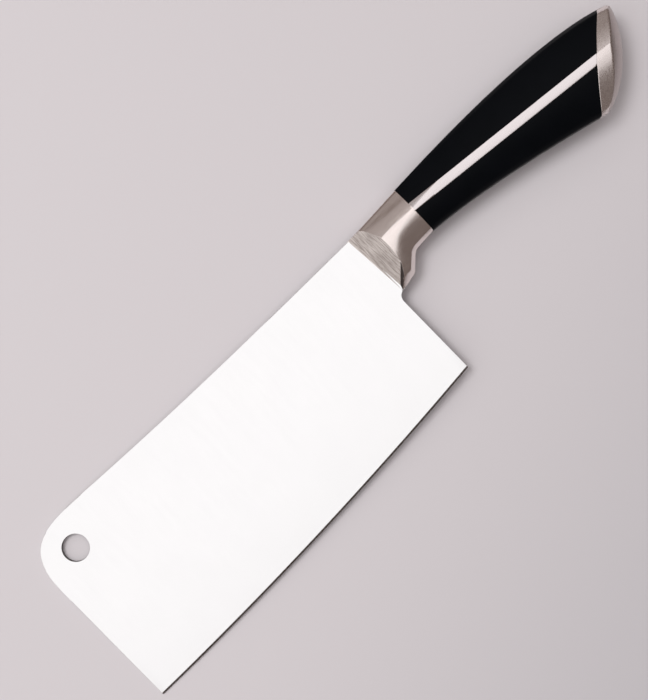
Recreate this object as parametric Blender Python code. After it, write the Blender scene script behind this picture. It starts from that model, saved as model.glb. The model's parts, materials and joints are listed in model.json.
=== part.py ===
"""A meat cleaver lying on its side: a ground blade with a hidden tang, and a handle built on a riveted core.

Everything is drawn in the knife's own frame, in metres: X runs from the blade's front edge to the butt,
Y from the cutting edge to the spine, and Z is square to the blade, with 0 in its middle plane.
One empty then turns the whole knife a little, the way it lies on a table.
"""

import math

import bmesh
import bpy
from mathutils import Vector
from mathutils.geometry import intersect_point_tri

# ---- Blade ----
BLADE_LENGTH = 0.1650  # front edge to heel
BLADE_HEIGHT = 0.0744  # front corner of the cutting edge to the spine above it
SPINE_DROP = 0.0026  # the spine is this much lower at the handle than at the front
SPINE_DROP_END = 0.125  # where that drop ends, from the front edge
EDGE_RISE = 0.0084  # the cutting edge curves up this much from front to heel
FRONT_CORNER = 0.0260  # reach of the rounded front corner along both edges
FRONT_CORNER_FULLNESS = 3.4  # 2 is a quarter circle, more is squarer
STOCK_THICKNESS = 0.0025  # sheet that the blade is cut from, kept at the tang
CHEEK_AT_SPINE = 0.0022  # thickness of the ground blade at the spine
CHEEK_AT_EDGE = 0.0010  # thickness of the ground blade behind the cutting edge
EDGE_ANGLE = math.radians(30)  # each side of the cutting edge
EDGE_LAND = 0.0001  # width of the cutting edge itself
HANG_HOLE_DIAMETER = 0.0104
HANG_HOLE_FROM_FRONT = 0.0151
HANG_HOLE_FROM_SPINE = 0.0129
HEEL_FILLET = 0.0032  # where the heel turns in under the bolster
PLUNGE_SETBACK = 0.0019  # the grinding of the cheeks ends this far behind the heel

# ---- Tang ----
SHOULDER_SETBACK = 0.0070  # the blade narrows to its tang this far behind the heel
SHOULDER_FILLET = 0.0006
TANG_HEIGHT = 0.0084  # at the shoulder
TANG_END_HEIGHT = 0.0080
TANG_REACH = 0.0660  # past the bolster's back face

# ---- Bolster ----
BOLSTER_LENGTH = 0.0254  # heel to the bolster's back face
BOLSTER_HEIGHT = 0.0199  # at its back face
BOLSTER_RISE = 0.0013  # top of the back face above the spine
BOLSTER_THICKNESS = 0.0156  # at its back face
NOSE_THICKNESS = 0.0138  # at its nose, before the crescents are ground
NOSE_EDGE_THICKNESS = 0.0110  # at its nose, where the sides meet the chamfers
NOSE_TOP_THICKNESS = 0.0056  # at its nose, across the narrow top and bottom faces
NOSE_SETBACK = 0.0024  # the nose starts this far behind the heel
NOSE_ANGLE = math.radians(40)  # slope of the ground crescents
NOSE_LIP = 0.0003  # thickness of each cheek's front lip
TOE_DEPTH = 0.0266  # the guard toe's underside below the spine, at the nose
TOE_LENGTH = 0.0077  # nose to the toe's back corner
TOE_RISE = 0.0015  # rise of the toe's underside along that length
TOE_RAMP_LENGTH = 0.0058
TOE_RAMP_RISE = 0.0058
TOE_ROUNDING = 0.0016
THROAT_ROUNDING = 0.0040
CREST_SAG = 0.0080  # the crest line of the bolster's sides drops this much towards the nose
CREST_SAG_POWER = 1.5  # 1 drops evenly, more leaves the strips' line more gently
CREST_AT_NOSE = 0.0080  # width of the flat crest at the nose

# ---- Handle's outline ----
GRIP_TOP_LENGTH = 0.0965  # bolster to the cap's slanting cut, along the top
GRIP_TOP_FALL = 0.00435  # the top line's end below its start
GRIP_TOP_END_SLOPE = 0.2956  # its fall there, per unit of length
GRIP_TOP_FRONT_PULL = 0.0350  # how far each end's slope governs the curve
GRIP_TOP_BACK_PULL = 0.0220
GRIP_BOTTOM_LENGTH = 0.0717  # bolster to the cap's slanting cut, along the underside
GRIP_BOTTOM_FALL = 0.0131  # the underside's end below its start
GRIP_BOTTOM_START_SLOPE = 0.0540
GRIP_BOTTOM_END_SLOPE = 0.2540
GRIP_BOTTOM_PULL = 0.0200

# ---- Handle's cross-section ----
BUTT_THICKNESS = 0.0228  # at the upper end of the slanting cut
EDGE_THICKNESS = 0.0112  # across the handle where its sides meet the narrow chamfers
TOP_THICKNESS = 0.0068  # across the narrow top and bottom faces
CHAMFER = 0.0016  # width of the chamfers, seen from the side
TOP_CROWN = 0.0003
SIDE_FULLNESS = 1.3  # 1 is a flat side, more is rounder
STRIP_WIDTH = 0.0035  # the steel strips
STRIP_BELOW_TOP = 0.00865  # middle of a strip below the handle's top line, at the bolster
STRIP_FALL = 0.1017  # the strips' fall towards the butt, per unit of length
STRIP_CROWN = 0.00012

# ---- Covers, core and rivets ----
COVER_WALL = 0.0024  # wall of the grip covers, and thickness of the strips
FIT_GAP = 0.0003  # between any two pieces
CORE_SPIGOT = 0.0050  # the core's reach into the bolster
CORE_TENON = 0.0028  # the core's reach into the pommel cap
RIVET_SHANK = 0.0040  # diameter
RIVET_HEAD = 0.0060  # diameter
RIVET_HEAD_THICKNESS = 0.0010
RIVET_SUNK = 0.0012  # heads below the core's crest
FIRST_RIVET = 0.0150  # behind the bolster's back face
RIVET_SPACING = 0.0220
RIVET_NAMES = ("front_rivet", "middle_rivet", "rear_rivet")
STUD_DIAMETER = 0.0022  # on the strips' backs, between the rivets
STUD_LENGTH = 0.0030

# ---- Pommel cap ----
CUT_HOLLOW = 0.0020  # the slanting cut bows this much towards the blade
CAP_DEPTH = 0.0096  # straight line across the cut, to the dome's peak
DOME_DEPTH = 0.0200  # half axes of the ellipsoid that rounds the cap's end
DOME_LENGTH = 0.0300
DOME_WIDTH = 0.0144
DOME_SHIFT = 0.0034  # the dome's middle above the middle of the cut

# ---- Fineness of the round shapes ----
EDGE_STEPS = 20
CORNER_STEPS = 14
SPINE_STEPS = 8
HOLE_SIDES = 40
GRIP_STATIONS = 16
SIDE_STEPS = 4
CUT_STEPS = 12
DOME_RINGS = 24
DOME_SIDES = 36
RIVET_SIDES = 20
ARC_STEP = math.radians(18)

# ---- Densities, in kg/m3, which say how the knife balances ----
STEEL_DENSITY = 7750
MOULDING_DENSITY = 1050

# ---- Places worked out from the sizes above ----
FAR = 0.060  # how far the cutting tools reach past what they cut
SPINE_Y = BLADE_HEIGHT - SPINE_DROP
BACK_X = BLADE_LENGTH + BOLSTER_LENGTH  # the bolster's back face
NOSE_X = BLADE_LENGTH + NOSE_SETBACK
SHOULDER_X = BLADE_LENGTH + SHOULDER_SETBACK
PLUNGE_X = BLADE_LENGTH + PLUNGE_SETBACK
TOE_Y = SPINE_Y - TOE_DEPTH
TOP_Y = SPINE_Y + BOLSTER_RISE  # the handle's top line at the bolster's back face
BOTTOM_Y = TOP_Y - BOLSTER_HEIGHT
TANG_END_X = BACK_X + TANG_REACH
SLOT_HALF = STOCK_THICKNESS / 2 + FIT_GAP
CORE_INSET = COVER_WALL + FIT_GAP
EDGE_RADIUS = (BLADE_LENGTH**2 + EDGE_RISE**2) / (2 * EDGE_RISE)
TOP_SLOPE = BOLSTER_RISE / (BACK_X - NOSE_X)  # of the bolster's top line
CUT_TOP = Vector((BACK_X + GRIP_TOP_LENGTH, TOP_Y - GRIP_TOP_FALL))
CUT_BOTTOM = Vector((BACK_X + GRIP_BOTTOM_LENGTH, BOTTOM_Y - GRIP_BOTTOM_FALL))
CUT_MIDDLE = (CUT_TOP + CUT_BOTTOM) / 2
CUT_ALONG = (CUT_TOP - CUT_BOTTOM).normalized()
CUT_OUT = Vector((CUT_ALONG.y, -CUT_ALONG.x))  # from the cut towards the butt
FORM_END_X = CUT_TOP.x + CAP_DEPTH + FAR / 6
GRIP_TOP = (
    Vector((BACK_X, TOP_Y)),
    Vector((BACK_X + GRIP_TOP_FRONT_PULL, TOP_Y + GRIP_TOP_FRONT_PULL * TOP_SLOPE)),
    CUT_TOP + GRIP_TOP_BACK_PULL * Vector((-1, GRIP_TOP_END_SLOPE)),
    CUT_TOP,
)
GRIP_BOTTOM = (
    Vector((BACK_X, BOTTOM_Y)),
    Vector((BACK_X, BOTTOM_Y)) + GRIP_BOTTOM_PULL * Vector((1, -GRIP_BOTTOM_START_SLOPE)),
    CUT_BOTTOM + GRIP_BOTTOM_PULL * Vector((-1, GRIP_BOTTOM_END_SLOPE)),
    CUT_BOTTOM,
)


# ---- Curves ----
def mix(a, b, share):
    """The value this share of the way from a to b."""
    return a + (b - a) * share


def bezier(points, t):
    """A point of the Bezier curve through these control points."""
    while len(points) > 1:
        points = [mix(a, b, t) for a, b in zip(points, points[1:])]
    return points[0]


def bezier_height(points, x):
    """Height at x of a Bezier curve that runs along +X and goes on straight past its end."""
    if x >= points[-1].x:
        near, far = points[-1], points[-2]
        return near.y + (x - near.x) * (far.y - near.y) / (far.x - near.x)
    low, high = 0.0, 1.0
    for _ in range(40):
        middle = (low + high) / 2
        if bezier(points, middle).x < x:
            low = middle
        else:
            high = middle
    return bezier(points, low).y


def path_height(path, x):
    """Height at x of a path of points that runs along +X."""
    for near, far in zip(path, path[1:]):
        if x <= far.x:
            break
    return mix(near.y, far.y, (x - near.x) / (far.x - near.x))


def rounded(before, corner, after, radius):
    """Points of the arc of this radius that rounds a corner between two others."""
    back = (before - corner).normalized()
    ahead = (after - corner).normalized()
    half = back.angle(ahead) / 2
    centre = corner + (back + ahead).normalized() * radius / math.sin(half)
    first = corner + back * radius / math.tan(half) - centre
    last = corner + ahead * radius / math.tan(half) - centre
    steps = math.ceil(first.angle(last) / ARC_STEP)
    arms = [mix(first, last, step / steps).normalized() * radius for step in range(1, steps)]
    return [centre + arm for arm in (first, *arms, last)]


# ---- The handle's lines and cross-sections ----
def strip_line(x):
    """Height of the middle of the steel strips."""
    return TOP_Y - STRIP_BELOW_TOP - STRIP_FALL * (x - BACK_X)


def bolster_underside():
    """Points along the bolster's underside: toe, ramp and throat."""
    nose = Vector((NOSE_X, TOE_Y))
    toe = nose + Vector((TOE_LENGTH, TOE_RISE))
    throat = toe + Vector((TOE_RAMP_LENGTH, TOE_RAMP_RISE))
    back = Vector((BACK_X, BOTTOM_Y))
    toe_arc = rounded(nose, toe, throat, TOE_ROUNDING)
    return [nose, *toe_arc, *rounded(toe, throat, back, THROAT_ROUNDING), back]


def top_line(x):
    """Height of the top of the bolster and handle."""
    if x < BACK_X:
        return TOP_Y - TOP_SLOPE * (BACK_X - x)
    return bezier_height(GRIP_TOP, x)


def bottom_line(x):
    """Height of the underside of the bolster and handle."""
    if x < BACK_X:
        return path_height(bolster_underside(), x)
    return bezier_height(GRIP_BOTTOM, x)


def chamfer_height(line, x):
    """Height that the chamfer takes up in the cross-section, more where its line climbs."""
    step = FIT_GAP
    slope = (line(x + step) - line(x - step)) / (2 * step)
    return CHAMFER * math.hypot(1, slope)


def side_points(edge, crest):
    """Points down the rounded side from the chamfer's (height, reach) to that of the crest."""
    points = []
    for step in range(SIDE_STEPS):
        share = step / SIDE_STEPS
        bulge = 1 - (1 - share) ** SIDE_FULLNESS
        points.append((mix(edge[0], crest[0], share), mix(edge[1], crest[1], bulge)))
    return points


def section(x, inset=0.0):
    """The closed cross-section at x, set in from the surface: points in 3-D, from the top round the left side."""
    to_nose = min(max((BACK_X - x) / (BACK_X - NOSE_X), 0.0), 1.0)
    to_butt = max((x - BACK_X) / GRIP_TOP_LENGTH, 0.0)
    top, bottom = top_line(x), bottom_line(x)
    middle = strip_line(x) - CREST_SAG * to_nose**CREST_SAG_POWER
    crest_half = mix(STRIP_WIDTH, CREST_AT_NOSE, to_nose**2) / 2
    reach = mix(BOLSTER_THICKNESS, NOSE_THICKNESS, to_nose) / 2
    reach += (BUTT_THICKNESS - BOLSTER_THICKNESS) / 2 * to_butt
    edge_reach = mix(EDGE_THICKNESS, NOSE_EDGE_THICKNESS, to_nose) / 2
    top_reach = mix(TOP_THICKNESS, NOSE_TOP_THICKNESS, to_nose) / 2
    upper_edge = (top - chamfer_height(top_line, x), edge_reach)
    lower_edge = (bottom + chamfer_height(bottom_line, x), edge_reach)
    left = [(top, top_reach)]
    left += side_points(upper_edge, (middle + crest_half, reach))
    left += [(middle + crest_half, reach), (middle, reach + STRIP_CROWN), (middle - crest_half, reach)]
    left += side_points(lower_edge, (middle - crest_half, reach))[::-1]
    left += [(bottom, top_reach)]
    right = [(y, -z) for y, z in reversed(left)]
    ring = [(top + TOP_CROWN, 0), *left, (bottom - TOP_CROWN, 0), *right]
    return [Vector((x, y, z)) for y, z in inset_ring(ring, inset)]


def inset_ring(ring, inset):
    """A convex ring of (y, z) points moved inwards, square to each side."""
    moved = []
    for index, here in enumerate(ring):
        before = Vector(here) - Vector(ring[index - 1])
        after = Vector(ring[(index + 1) % len(ring)]) - Vector(here)
        inward = Vector((-before.y, before.x)).normalized() + Vector((-after.y, after.x)).normalized()
        moved.append(Vector(here) + inward * 2 * inset / inward.length_squared)
    return moved


def stations(start, end):
    """Even places along X between two ends, both included."""
    steps = max(1, math.ceil((end - start) / (GRIP_TOP_LENGTH / GRIP_STATIONS)))
    return [mix(start, end, step / steps) for step in range(steps + 1)]


CREST_INDEX = 2 + SIDE_STEPS  # a section's point at the upper edge of the left crest
LEFT_COUNT = 2 * CREST_INDEX + 1  # a section's points from the top to the bottom, both on the middle plane


def half_section(x, inset, side):
    """One half of a section, flat where it meets the other half. Side is 1 for left and -1 for right."""
    half = section(x, inset)[: LEFT_COUNT + 2]
    for point in (half[0], half[-1]):
        point.z = FIT_GAP / 2
    return [Vector((point.x, point.y, side * point.z)) for point in half]


# ---- Solids and cuts ----
def solid(name, *lofts):
    """An object whose mesh holds one closed body for each loft, which is a list of rings of points."""
    bm = bmesh.new()
    for rings in lofts:
        loops = [[bm.verts.new(point) for point in ring] for ring in rings]
        for near, far in zip(loops, loops[1:]):
            for index in range(len(near)):
                bm.faces.new((near[index - 1], near[index], far[index], far[index - 1]))
        bm.faces.new(loops[0])
        bm.faces.new(loops[-1])
    bmesh.ops.recalc_face_normals(bm, faces=bm.faces)
    mesh = bpy.data.meshes.new(name)
    bm.to_mesh(mesh)
    bm.free()
    mesh.shade_smooth()
    mesh.set_sharp_from_angle(angle=math.radians(20))
    thing = bpy.data.objects.new(name, mesh)
    bpy.context.scene.collection.objects.link(thing)
    return thing


def tool(name, *lofts):
    """A helper that only cuts other pieces."""
    thing = solid(name, *lofts)
    thing.hide_render = True
    thing.display_type = "WIRE"
    return thing


def cut(piece, helper, operation="DIFFERENCE"):
    """Leave a live Boolean on the piece."""
    modifier = piece.modifiers.new(helper.name, "BOOLEAN")
    modifier.operation = operation
    modifier.solver = "EXACT"
    modifier.object = helper


def plate(outline, low, high):
    """Rings of a plate with this outline in X and Y, between two heights in Z."""
    return [[Vector((point.x, point.y, z)) for point in outline] for z in (low, high)]


def bar(outline, low, high):
    """Rings of a bar with this (x, z) outline, between two places in Y."""
    return [[Vector((x, y, z)) for x, z in outline] for y in (low, high)]


def turned(x, y, profile, sides):
    """Rings round a line along Z through x, y. The profile is a list of (radius, z)."""
    turns = [math.tau * side / sides for side in range(sides)]
    return [
        [Vector((x + radius * math.cos(turn), y + radius * math.sin(turn), z)) for turn in turns]
        for radius, z in profile
    ]


def finish(name, colour, metallic, roughness):
    """A plain material."""
    material = bpy.data.materials.new(name)
    material.use_nodes = True
    shader = material.node_tree.nodes["Principled BSDF"]
    shader.inputs["Base Color"].default_value = (*colour, 1)
    shader.inputs["Metallic"].default_value = metallic
    shader.inputs["Roughness"].default_value = roughness
    return material


# ---- Blade ----
def edge_height(x):
    """Height of the cutting edge, an arc that starts level at the front."""
    return EDGE_RADIUS - math.sqrt(EDGE_RADIUS**2 - x**2)


def tang_outline(gap):
    """Points round the tang, from below the shoulder to above it, with a gap all round."""
    root, end = SHOULDER_X + gap, TANG_END_X + gap
    low_root = strip_line(root) - TANG_HEIGHT / 2 - gap
    low_end = strip_line(end) - TANG_END_HEIGHT / 2 - gap
    high_root = strip_line(root) + TANG_HEIGHT / 2 + gap
    high_end = strip_line(end) + TANG_END_HEIGHT / 2 + gap
    return [Vector(point) for point in ((root, low_root), (end, low_end), (end, high_end), (root, high_root))]


def blade_outline():
    """Points round the blade and its tang, from the front corner of the cutting edge towards the heel."""
    steps = [step / EDGE_STEPS for step in range(EDGE_STEPS + 1)]
    edge = [Vector((BLADE_LENGTH * share, edge_height(BLADE_LENGTH * share))) for share in steps]
    heel_top = Vector((BLADE_LENGTH, TOE_Y))
    toe = Vector((NOSE_X, TOE_Y))
    root_low = Vector((SHOULDER_X, TOE_Y + TOE_RISE * (SHOULDER_X - NOSE_X) / TOE_LENGTH))
    tang = tang_outline(0)
    root_high = Vector((SHOULDER_X, SPINE_Y))
    under = [*rounded(edge[-1], heel_top, toe, HEEL_FILLET)]
    fillet = min(SHOULDER_FILLET, (SPINE_Y - tang[3].y) / 2)
    below = rounded(root_low, tang[0], tang[1], fillet)
    above = rounded(tang[2], tang[3], root_high, fillet)
    return [*edge, *under, root_low, *below, tang[1], tang[2], *above, root_high, *spine(), *front_corner()]


def spine():
    """Points along the spine, from where its drop ends to the rounded front corner."""
    points = []
    for step in range(SPINE_STEPS, 0, -1):
        share = step / SPINE_STEPS
        x = mix(FRONT_CORNER, SPINE_DROP_END, share)
        points.append(Vector((x, SPINE_Y + SPINE_DROP * (1 - share) ** 2)))
    return points


def front_corner():
    """Points round the front corner of the spine, a superellipse."""
    points = []
    for step in range(CORNER_STEPS + 1):
        turn = math.pi / 2 * (1 - step / CORNER_STEPS)
        power = 2 / FRONT_CORNER_FULLNESS
        x = FRONT_CORNER * (1 - math.cos(turn) ** power) if step else FRONT_CORNER
        y = BLADE_HEIGHT - FRONT_CORNER * (1 - math.sin(turn) ** power)
        points.append(Vector((x, y)))
    return points


def make_blade(rivet_places):
    """The blade with its tang, ground thinner on both cheeks, bevelled along its edge and drilled."""
    blade = solid("blade", plate(blade_outline(), -STOCK_THICKNESS / 2, STOCK_THICKNESS / 2))
    taper = (CHEEK_AT_SPINE - CHEEK_AT_EDGE) / 2 / SPINE_Y
    bevel_reach = STOCK_THICKNESS / math.tan(EDGE_ANGLE)
    for name, side in (("left", 1), ("right", -1)):
        grind = []
        for y in (-FAR, SPINE_Y + FAR):
            cheek = CHEEK_AT_EDGE / 2 + taper * y
            corners = ((-FAR, cheek), (PLUNGE_X, cheek), (PLUNGE_X, cheek + FAR), (-FAR, cheek + FAR))
            grind.append([Vector((x, y, side * z)) for x, z in corners])
        bevel = []
        for step in range(-1, EDGE_STEPS + 2):
            x = BLADE_LENGTH * step / EDGE_STEPS
            y = edge_height(x)
            high = EDGE_LAND / 2 + STOCK_THICKNESS
            low = EDGE_LAND / 2 - STOCK_THICKNESS
            corners = ((y - bevel_reach, low), (y + bevel_reach, high), (y - bevel_reach, high))
            bevel.append([Vector((x, corner_y, side * z)) for corner_y, z in corners])
        cut(blade, tool(name + "_cheek_grinding", grind))
        cut(blade, tool(name + "_edge_grinding", bevel))
    ends = (-STOCK_THICKNESS, STOCK_THICKNESS)
    hang_y = BLADE_HEIGHT - HANG_HOLE_FROM_SPINE
    hang = [(HANG_HOLE_DIAMETER / 2, z) for z in ends]
    shank = [(RIVET_SHANK / 2 + FIT_GAP, z) for z in ends]
    holes = [turned(HANG_HOLE_FROM_FRONT, hang_y, hang, HOLE_SIDES)]
    holes += [turned(x, strip_line(x), shank, RIVET_SIDES) for x in rivet_places]
    cut(blade, tool("blade_holes", *holes))
    return blade


# ---- Bolster ----
def make_bolster(tang_room):
    """The steel collar: slotted for the blade, ground away in two crescents, and hollow for the core's spigot."""
    places = stations(NOSE_X, BACK_X)
    for point in bolster_underside():
        if min(abs(point.x - place) for place in places) > FIT_GAP:
            places.append(point.x)
    bolster = solid("bolster", [section(x) for x in sorted(places)])
    cut(bolster, tang_room)
    crescents = []
    for side in (1, -1):
        lip = SLOT_HALF + NOSE_LIP
        front = (NOSE_X - lip / math.tan(NOSE_ANGLE), 0)
        back = (NOSE_X + FAR / math.tan(NOSE_ANGLE), side * (lip + FAR))
        outline = (front, back, (front[0] - FAR, back[1]), (front[0] - FAR, 0))
        crescents.append(bar(outline, -FAR, SPINE_Y + FAR))
    for name, crescent in zip(("left_crescent", "right_crescent"), crescents):
        cut(bolster, tool(name, crescent))
    depth = BACK_X - CORE_SPIGOT - FIT_GAP
    cut(bolster, tool("spigot_room", [section(x, COVER_WALL) for x in (depth, BACK_X, BACK_X + FIT_GAP)]))
    return bolster


# ---- The slanting cut between handle and cap ----
def cut_plate(shift, towards):
    """A plate on one side of the bowed cut, which is shifted towards the butt. Towards is 1 for the butt's side."""
    half = (CUT_TOP - CUT_BOTTOM).length / 2
    radius = (half**2 + CUT_HOLLOW**2) / (2 * CUT_HOLLOW)
    centre = CUT_MIDDLE + CUT_OUT * (radius - CUT_HOLLOW + shift)
    reach = 2 * math.asin(half / radius)
    outline = []
    for step in range(CUT_STEPS + 1):
        turn = mix(-reach, reach, step / CUT_STEPS)
        outline.append(centre + radius * (math.sin(turn) * CUT_ALONG - math.cos(turn) * CUT_OUT))
    beyond = CUT_OUT * towards * 2 * FAR
    outline += [outline[-1] + beyond, outline[0] + beyond]
    return plate(outline, -FAR, FAR)


# ---- Core, covers, strips and cap ----
def core_reach(x):
    """How far the core's crest stands from the middle plane."""
    return section(x, CORE_INSET)[CREST_INDEX].z


def rivet_profile(x, gap):
    """Profile of a rivet in the core at x, or of the room for it with a gap."""
    end = core_reach(x) - RIVET_SUNK
    neck = end - RIVET_HEAD_THICKNESS - gap
    open_end = core_reach(x) + FIT_GAP + COVER_WALL / 2 if gap else end
    shank, head = RIVET_SHANK / 2 + gap, RIVET_HEAD / 2 + gap
    return [(head, -open_end), (head, -neck), (shank, -neck), (shank, neck), (head, neck), (head, open_end)]


def stud_profile(x, gap, side):
    """Profile of a stud on a strip's back at x, or of the room for it with a gap."""
    root = section(x)[CREST_INDEX].z - COVER_WALL / 2
    end = root - COVER_WALL / 2 - STUD_LENGTH - gap
    return [(STUD_DIAMETER / 2 + gap, side * z) for z in (end, root)]


def make_cores(tang_room, rivet_places, stud_places):
    """The two moulded halves that clamp the tang."""
    rooms = [turned(x, strip_line(x), rivet_profile(x, FIT_GAP), RIVET_SIDES) for x in rivet_places]
    for side in (1, -1):
        rooms += [turned(x, strip_line(x), stud_profile(x, FIT_GAP, side), RIVET_SIDES) for x in stud_places]
    core_holes = tool("core_holes", *rooms)
    core_end = tool("core_end", cut_plate(CORE_TENON, 1))
    cores = []
    for name, side in (("left_core", 1), ("right_core", -1)):
        places = [BACK_X - CORE_SPIGOT, *stations(BACK_X, FORM_END_X)]
        core = solid(name, [half_section(x, CORE_INSET, side) for x in places])
        cut(core, tang_room)
        cut(core, core_holes)
        cut(core, core_end)
        cores.append(core)
    return cores


def cover_ring(x, lower):
    """Closed cross-section of a cover at x: round the outside from strip to strip and back along the inside."""
    outside, inside = section(x), section(x, COVER_WALL)
    first = CREST_INDEX
    if lower:
        first += 2
    last = len(outside) - first
    span = range(first, last + 1) if lower else range(-first, first + 1)
    outer = [outside[index].copy() for index in span]
    inner = [inside[index].copy() for index in span]
    edge = outside[first].y + (-FIT_GAP if lower else FIT_GAP)
    for ring in (outer, inner):
        for end, beside in ((0, 1), (-1, -2)):
            share = (edge - ring[end].y) / (ring[beside].y - ring[end].y)
            ring[end] = mix(ring[end], ring[beside], share)
    return outer + inner[::-1]


def make_covers(cover_end):
    """The upper and lower grip covers, which wrap the core between the strips."""
    places = stations(BACK_X + FIT_GAP, FORM_END_X)
    covers = []
    for name, lower in (("upper_grip", False), ("lower_grip", True)):
        cover = solid(name, [cover_ring(x, lower) for x in places])
        cut(cover, cover_end)
        covers.append(cover)
    return covers


def strip_ring(x, side):
    """Closed cross-section of a strip at x."""
    outer = [point.copy() for point in section(x)[CREST_INDEX : CREST_INDEX + 3]]
    inner = [point - Vector((0, 0, COVER_WALL)) for point in (outer[2], outer[0])]
    return [Vector((point.x, point.y, side * point.z)) for point in outer + inner]


def make_strips(cover_end, stud_places):
    """The steel strips along both sides, with studs that sit in the core."""
    places = stations(BACK_X + FIT_GAP, FORM_END_X)
    strips = []
    for name, side in (("left_strip", 1), ("right_strip", -1)):
        strip = solid(name, [strip_ring(x, side) for x in places])
        cut(strip, cover_end)
        studs = [turned(x, strip_line(x), stud_profile(x, 0, side), RIVET_SIDES) for x in stud_places]
        cut(strip, tool(name + "_studs", *studs), "UNION")
        strips.append(strip)
    return strips


def make_cap():
    """The pommel cap: the handle's form between the slanting cut and a dome, hollow for the core's tenon."""
    start = CUT_BOTTOM.x - CUT_HOLLOW - CAP_DEPTH
    cap = solid("pommel_cap", [section(x) for x in stations(start, FORM_END_X)])
    half_turns = [math.pi * ring / DOME_RINGS for ring in range(1, DOME_RINGS)]
    centre = CUT_MIDDLE + CUT_OUT * (CAP_DEPTH - DOME_DEPTH) + CUT_ALONG * DOME_SHIFT
    rings = []
    for half_turn in half_turns:
        ring = []
        for side in range(DOME_SIDES):
            turn = math.tau * side / DOME_SIDES
            level = centre + CUT_ALONG * DOME_LENGTH * math.cos(half_turn)
            level = level + CUT_OUT * DOME_DEPTH * math.sin(half_turn) * math.cos(turn)
            ring.append(Vector((*level, DOME_WIDTH * math.sin(half_turn) * math.sin(turn))))
        rings.append(ring)
    cut(cap, tool("dome", rings), "INTERSECT")
    cut(cap, tool("cap_front", cut_plate(0, -1)))
    tenon_room = tool("tenon_room", [section(x, COVER_WALL) for x in stations(start, FORM_END_X)])
    cut(tenon_room, tool("tenon_room_end", cut_plate(CORE_TENON + FIT_GAP, 1)))
    cut(cap, tenon_room)
    return cap


# ---- The whole knife, lying down ----
def lay_down(knife, densities):
    """Turn the knife onto the ground as it comes to rest on its right side, with its box centred over the origin."""
    bpy.context.view_layer.update()
    graph = bpy.context.evaluated_depsgraph_get()
    points, weight, balance = [], 0.0, Vector()
    for piece, density in densities.items():
        shown = piece.evaluated_get(graph)
        mesh = shown.to_mesh()
        mesh.calc_loop_triangles()
        points += [vertex.co.copy() for vertex in mesh.vertices]
        for triangle in mesh.loop_triangles:
            a, b, c = (mesh.vertices[index].co for index in triangle.vertices)
            share = density * a.dot(b.cross(c)) / 6
            weight += share
            balance += share * (a + b + c) / 4
        shown.to_mesh_clear()
    balance /= weight
    hull = bmesh.new()
    for point in points:
        hull.verts.new(point)
    bmesh.ops.convex_hull(hull, input=hull.verts)
    hull.normal_update()
    under = []
    for face in hull.faces:
        foot = balance - face.normal * face.normal.dot(balance - face.verts[0].co)
        corners = [vertex.co for vertex in face.verts]
        if face.normal.z < 0 and intersect_point_tri(foot, *corners) is not None:
            under.append(face)
    resting = min(under, key=lambda face: face.normal.z)
    knife.rotation_mode = "QUATERNION"
    knife.rotation_quaternion = resting.normal.rotation_difference(Vector((0, 0, -1)))
    hull.free()
    turned_points = [knife.rotation_quaternion @ point for point in points]
    for axis in range(3):
        low = min(point[axis] for point in turned_points)
        high = max(point[axis] for point in turned_points)
        knife.location[axis] = -low if axis == 2 else -(low + high) / 2


def build():
    """Make every piece, give each its material, and lay the knife down."""
    for thing in list(bpy.data.objects):
        bpy.data.objects.remove(thing)
    rivet_places = [BACK_X + FIRST_RIVET + RIVET_SPACING * index for index in range(len(RIVET_NAMES))]
    stud_places = [(near + far) / 2 for near, far in zip(rivet_places, rivet_places[1:])]
    room = tang_outline(FIT_GAP)
    front, below, above = NOSE_X - FAR, -FAR, SPINE_Y + FAR
    corners = [(front, below), (room[0].x, below), *room, (room[0].x, above), (front, above)]
    tang_room = tool("tang_room", plate([Vector(corner) for corner in corners], -SLOT_HALF, SLOT_HALF))
    cover_end = tool("cover_end", cut_plate(-FIT_GAP, 1))

    steel_pieces = [make_blade(rivet_places), make_bolster(tang_room), *make_strips(cover_end, stud_places)]
    steel_pieces.append(make_cap())
    for name, x in zip(RIVET_NAMES, rivet_places):
        steel_pieces.append(solid(name, turned(x, strip_line(x), rivet_profile(x, 0), RIVET_SIDES)))
    covers = make_covers(cover_end)
    cores = make_cores(tang_room, rivet_places, stud_places)

    satin_steel = finish("satin_steel", (0.62, 0.60, 0.59), 1.0, 0.34)
    black_cover = finish("black_cover_moulding", (0.006, 0.006, 0.007), 0.0, 0.38)
    core_moulding = finish("core_moulding", (0.03, 0.03, 0.03), 0.0, 0.6)
    for pieces, material in ((steel_pieces, satin_steel), (covers, black_cover), (cores, core_moulding)):
        for piece in pieces:
            piece.data.materials.append(material)

    densities = dict.fromkeys(steel_pieces, STEEL_DENSITY)
    densities.update(dict.fromkeys(covers + cores, MOULDING_DENSITY))
    knife = bpy.data.objects.new("knife", None)
    bpy.context.scene.collection.objects.link(knife)
    lay_down(knife, densities)
    for thing in list(bpy.data.objects):
        if thing != knife:
            thing.parent = knife


build()
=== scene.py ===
"""A meat cleaver lying on a pale table: the looks of its steel and mouldings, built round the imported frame.

The pieces are drawn in the knife's own frame, in metres: X runs from the blade's front edge to the butt,
Y from the cutting edge to the spine, and Z is square to the blade, with 0 in its middle plane.
"""

import json
import logging
import math
from collections.abc import Callable, Iterable, Sequence
from dataclasses import dataclass
from enum import Enum

import bmesh
import bpy
from mathutils import Matrix, Vector
from mathutils.geometry import intersect_line_plane


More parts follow.
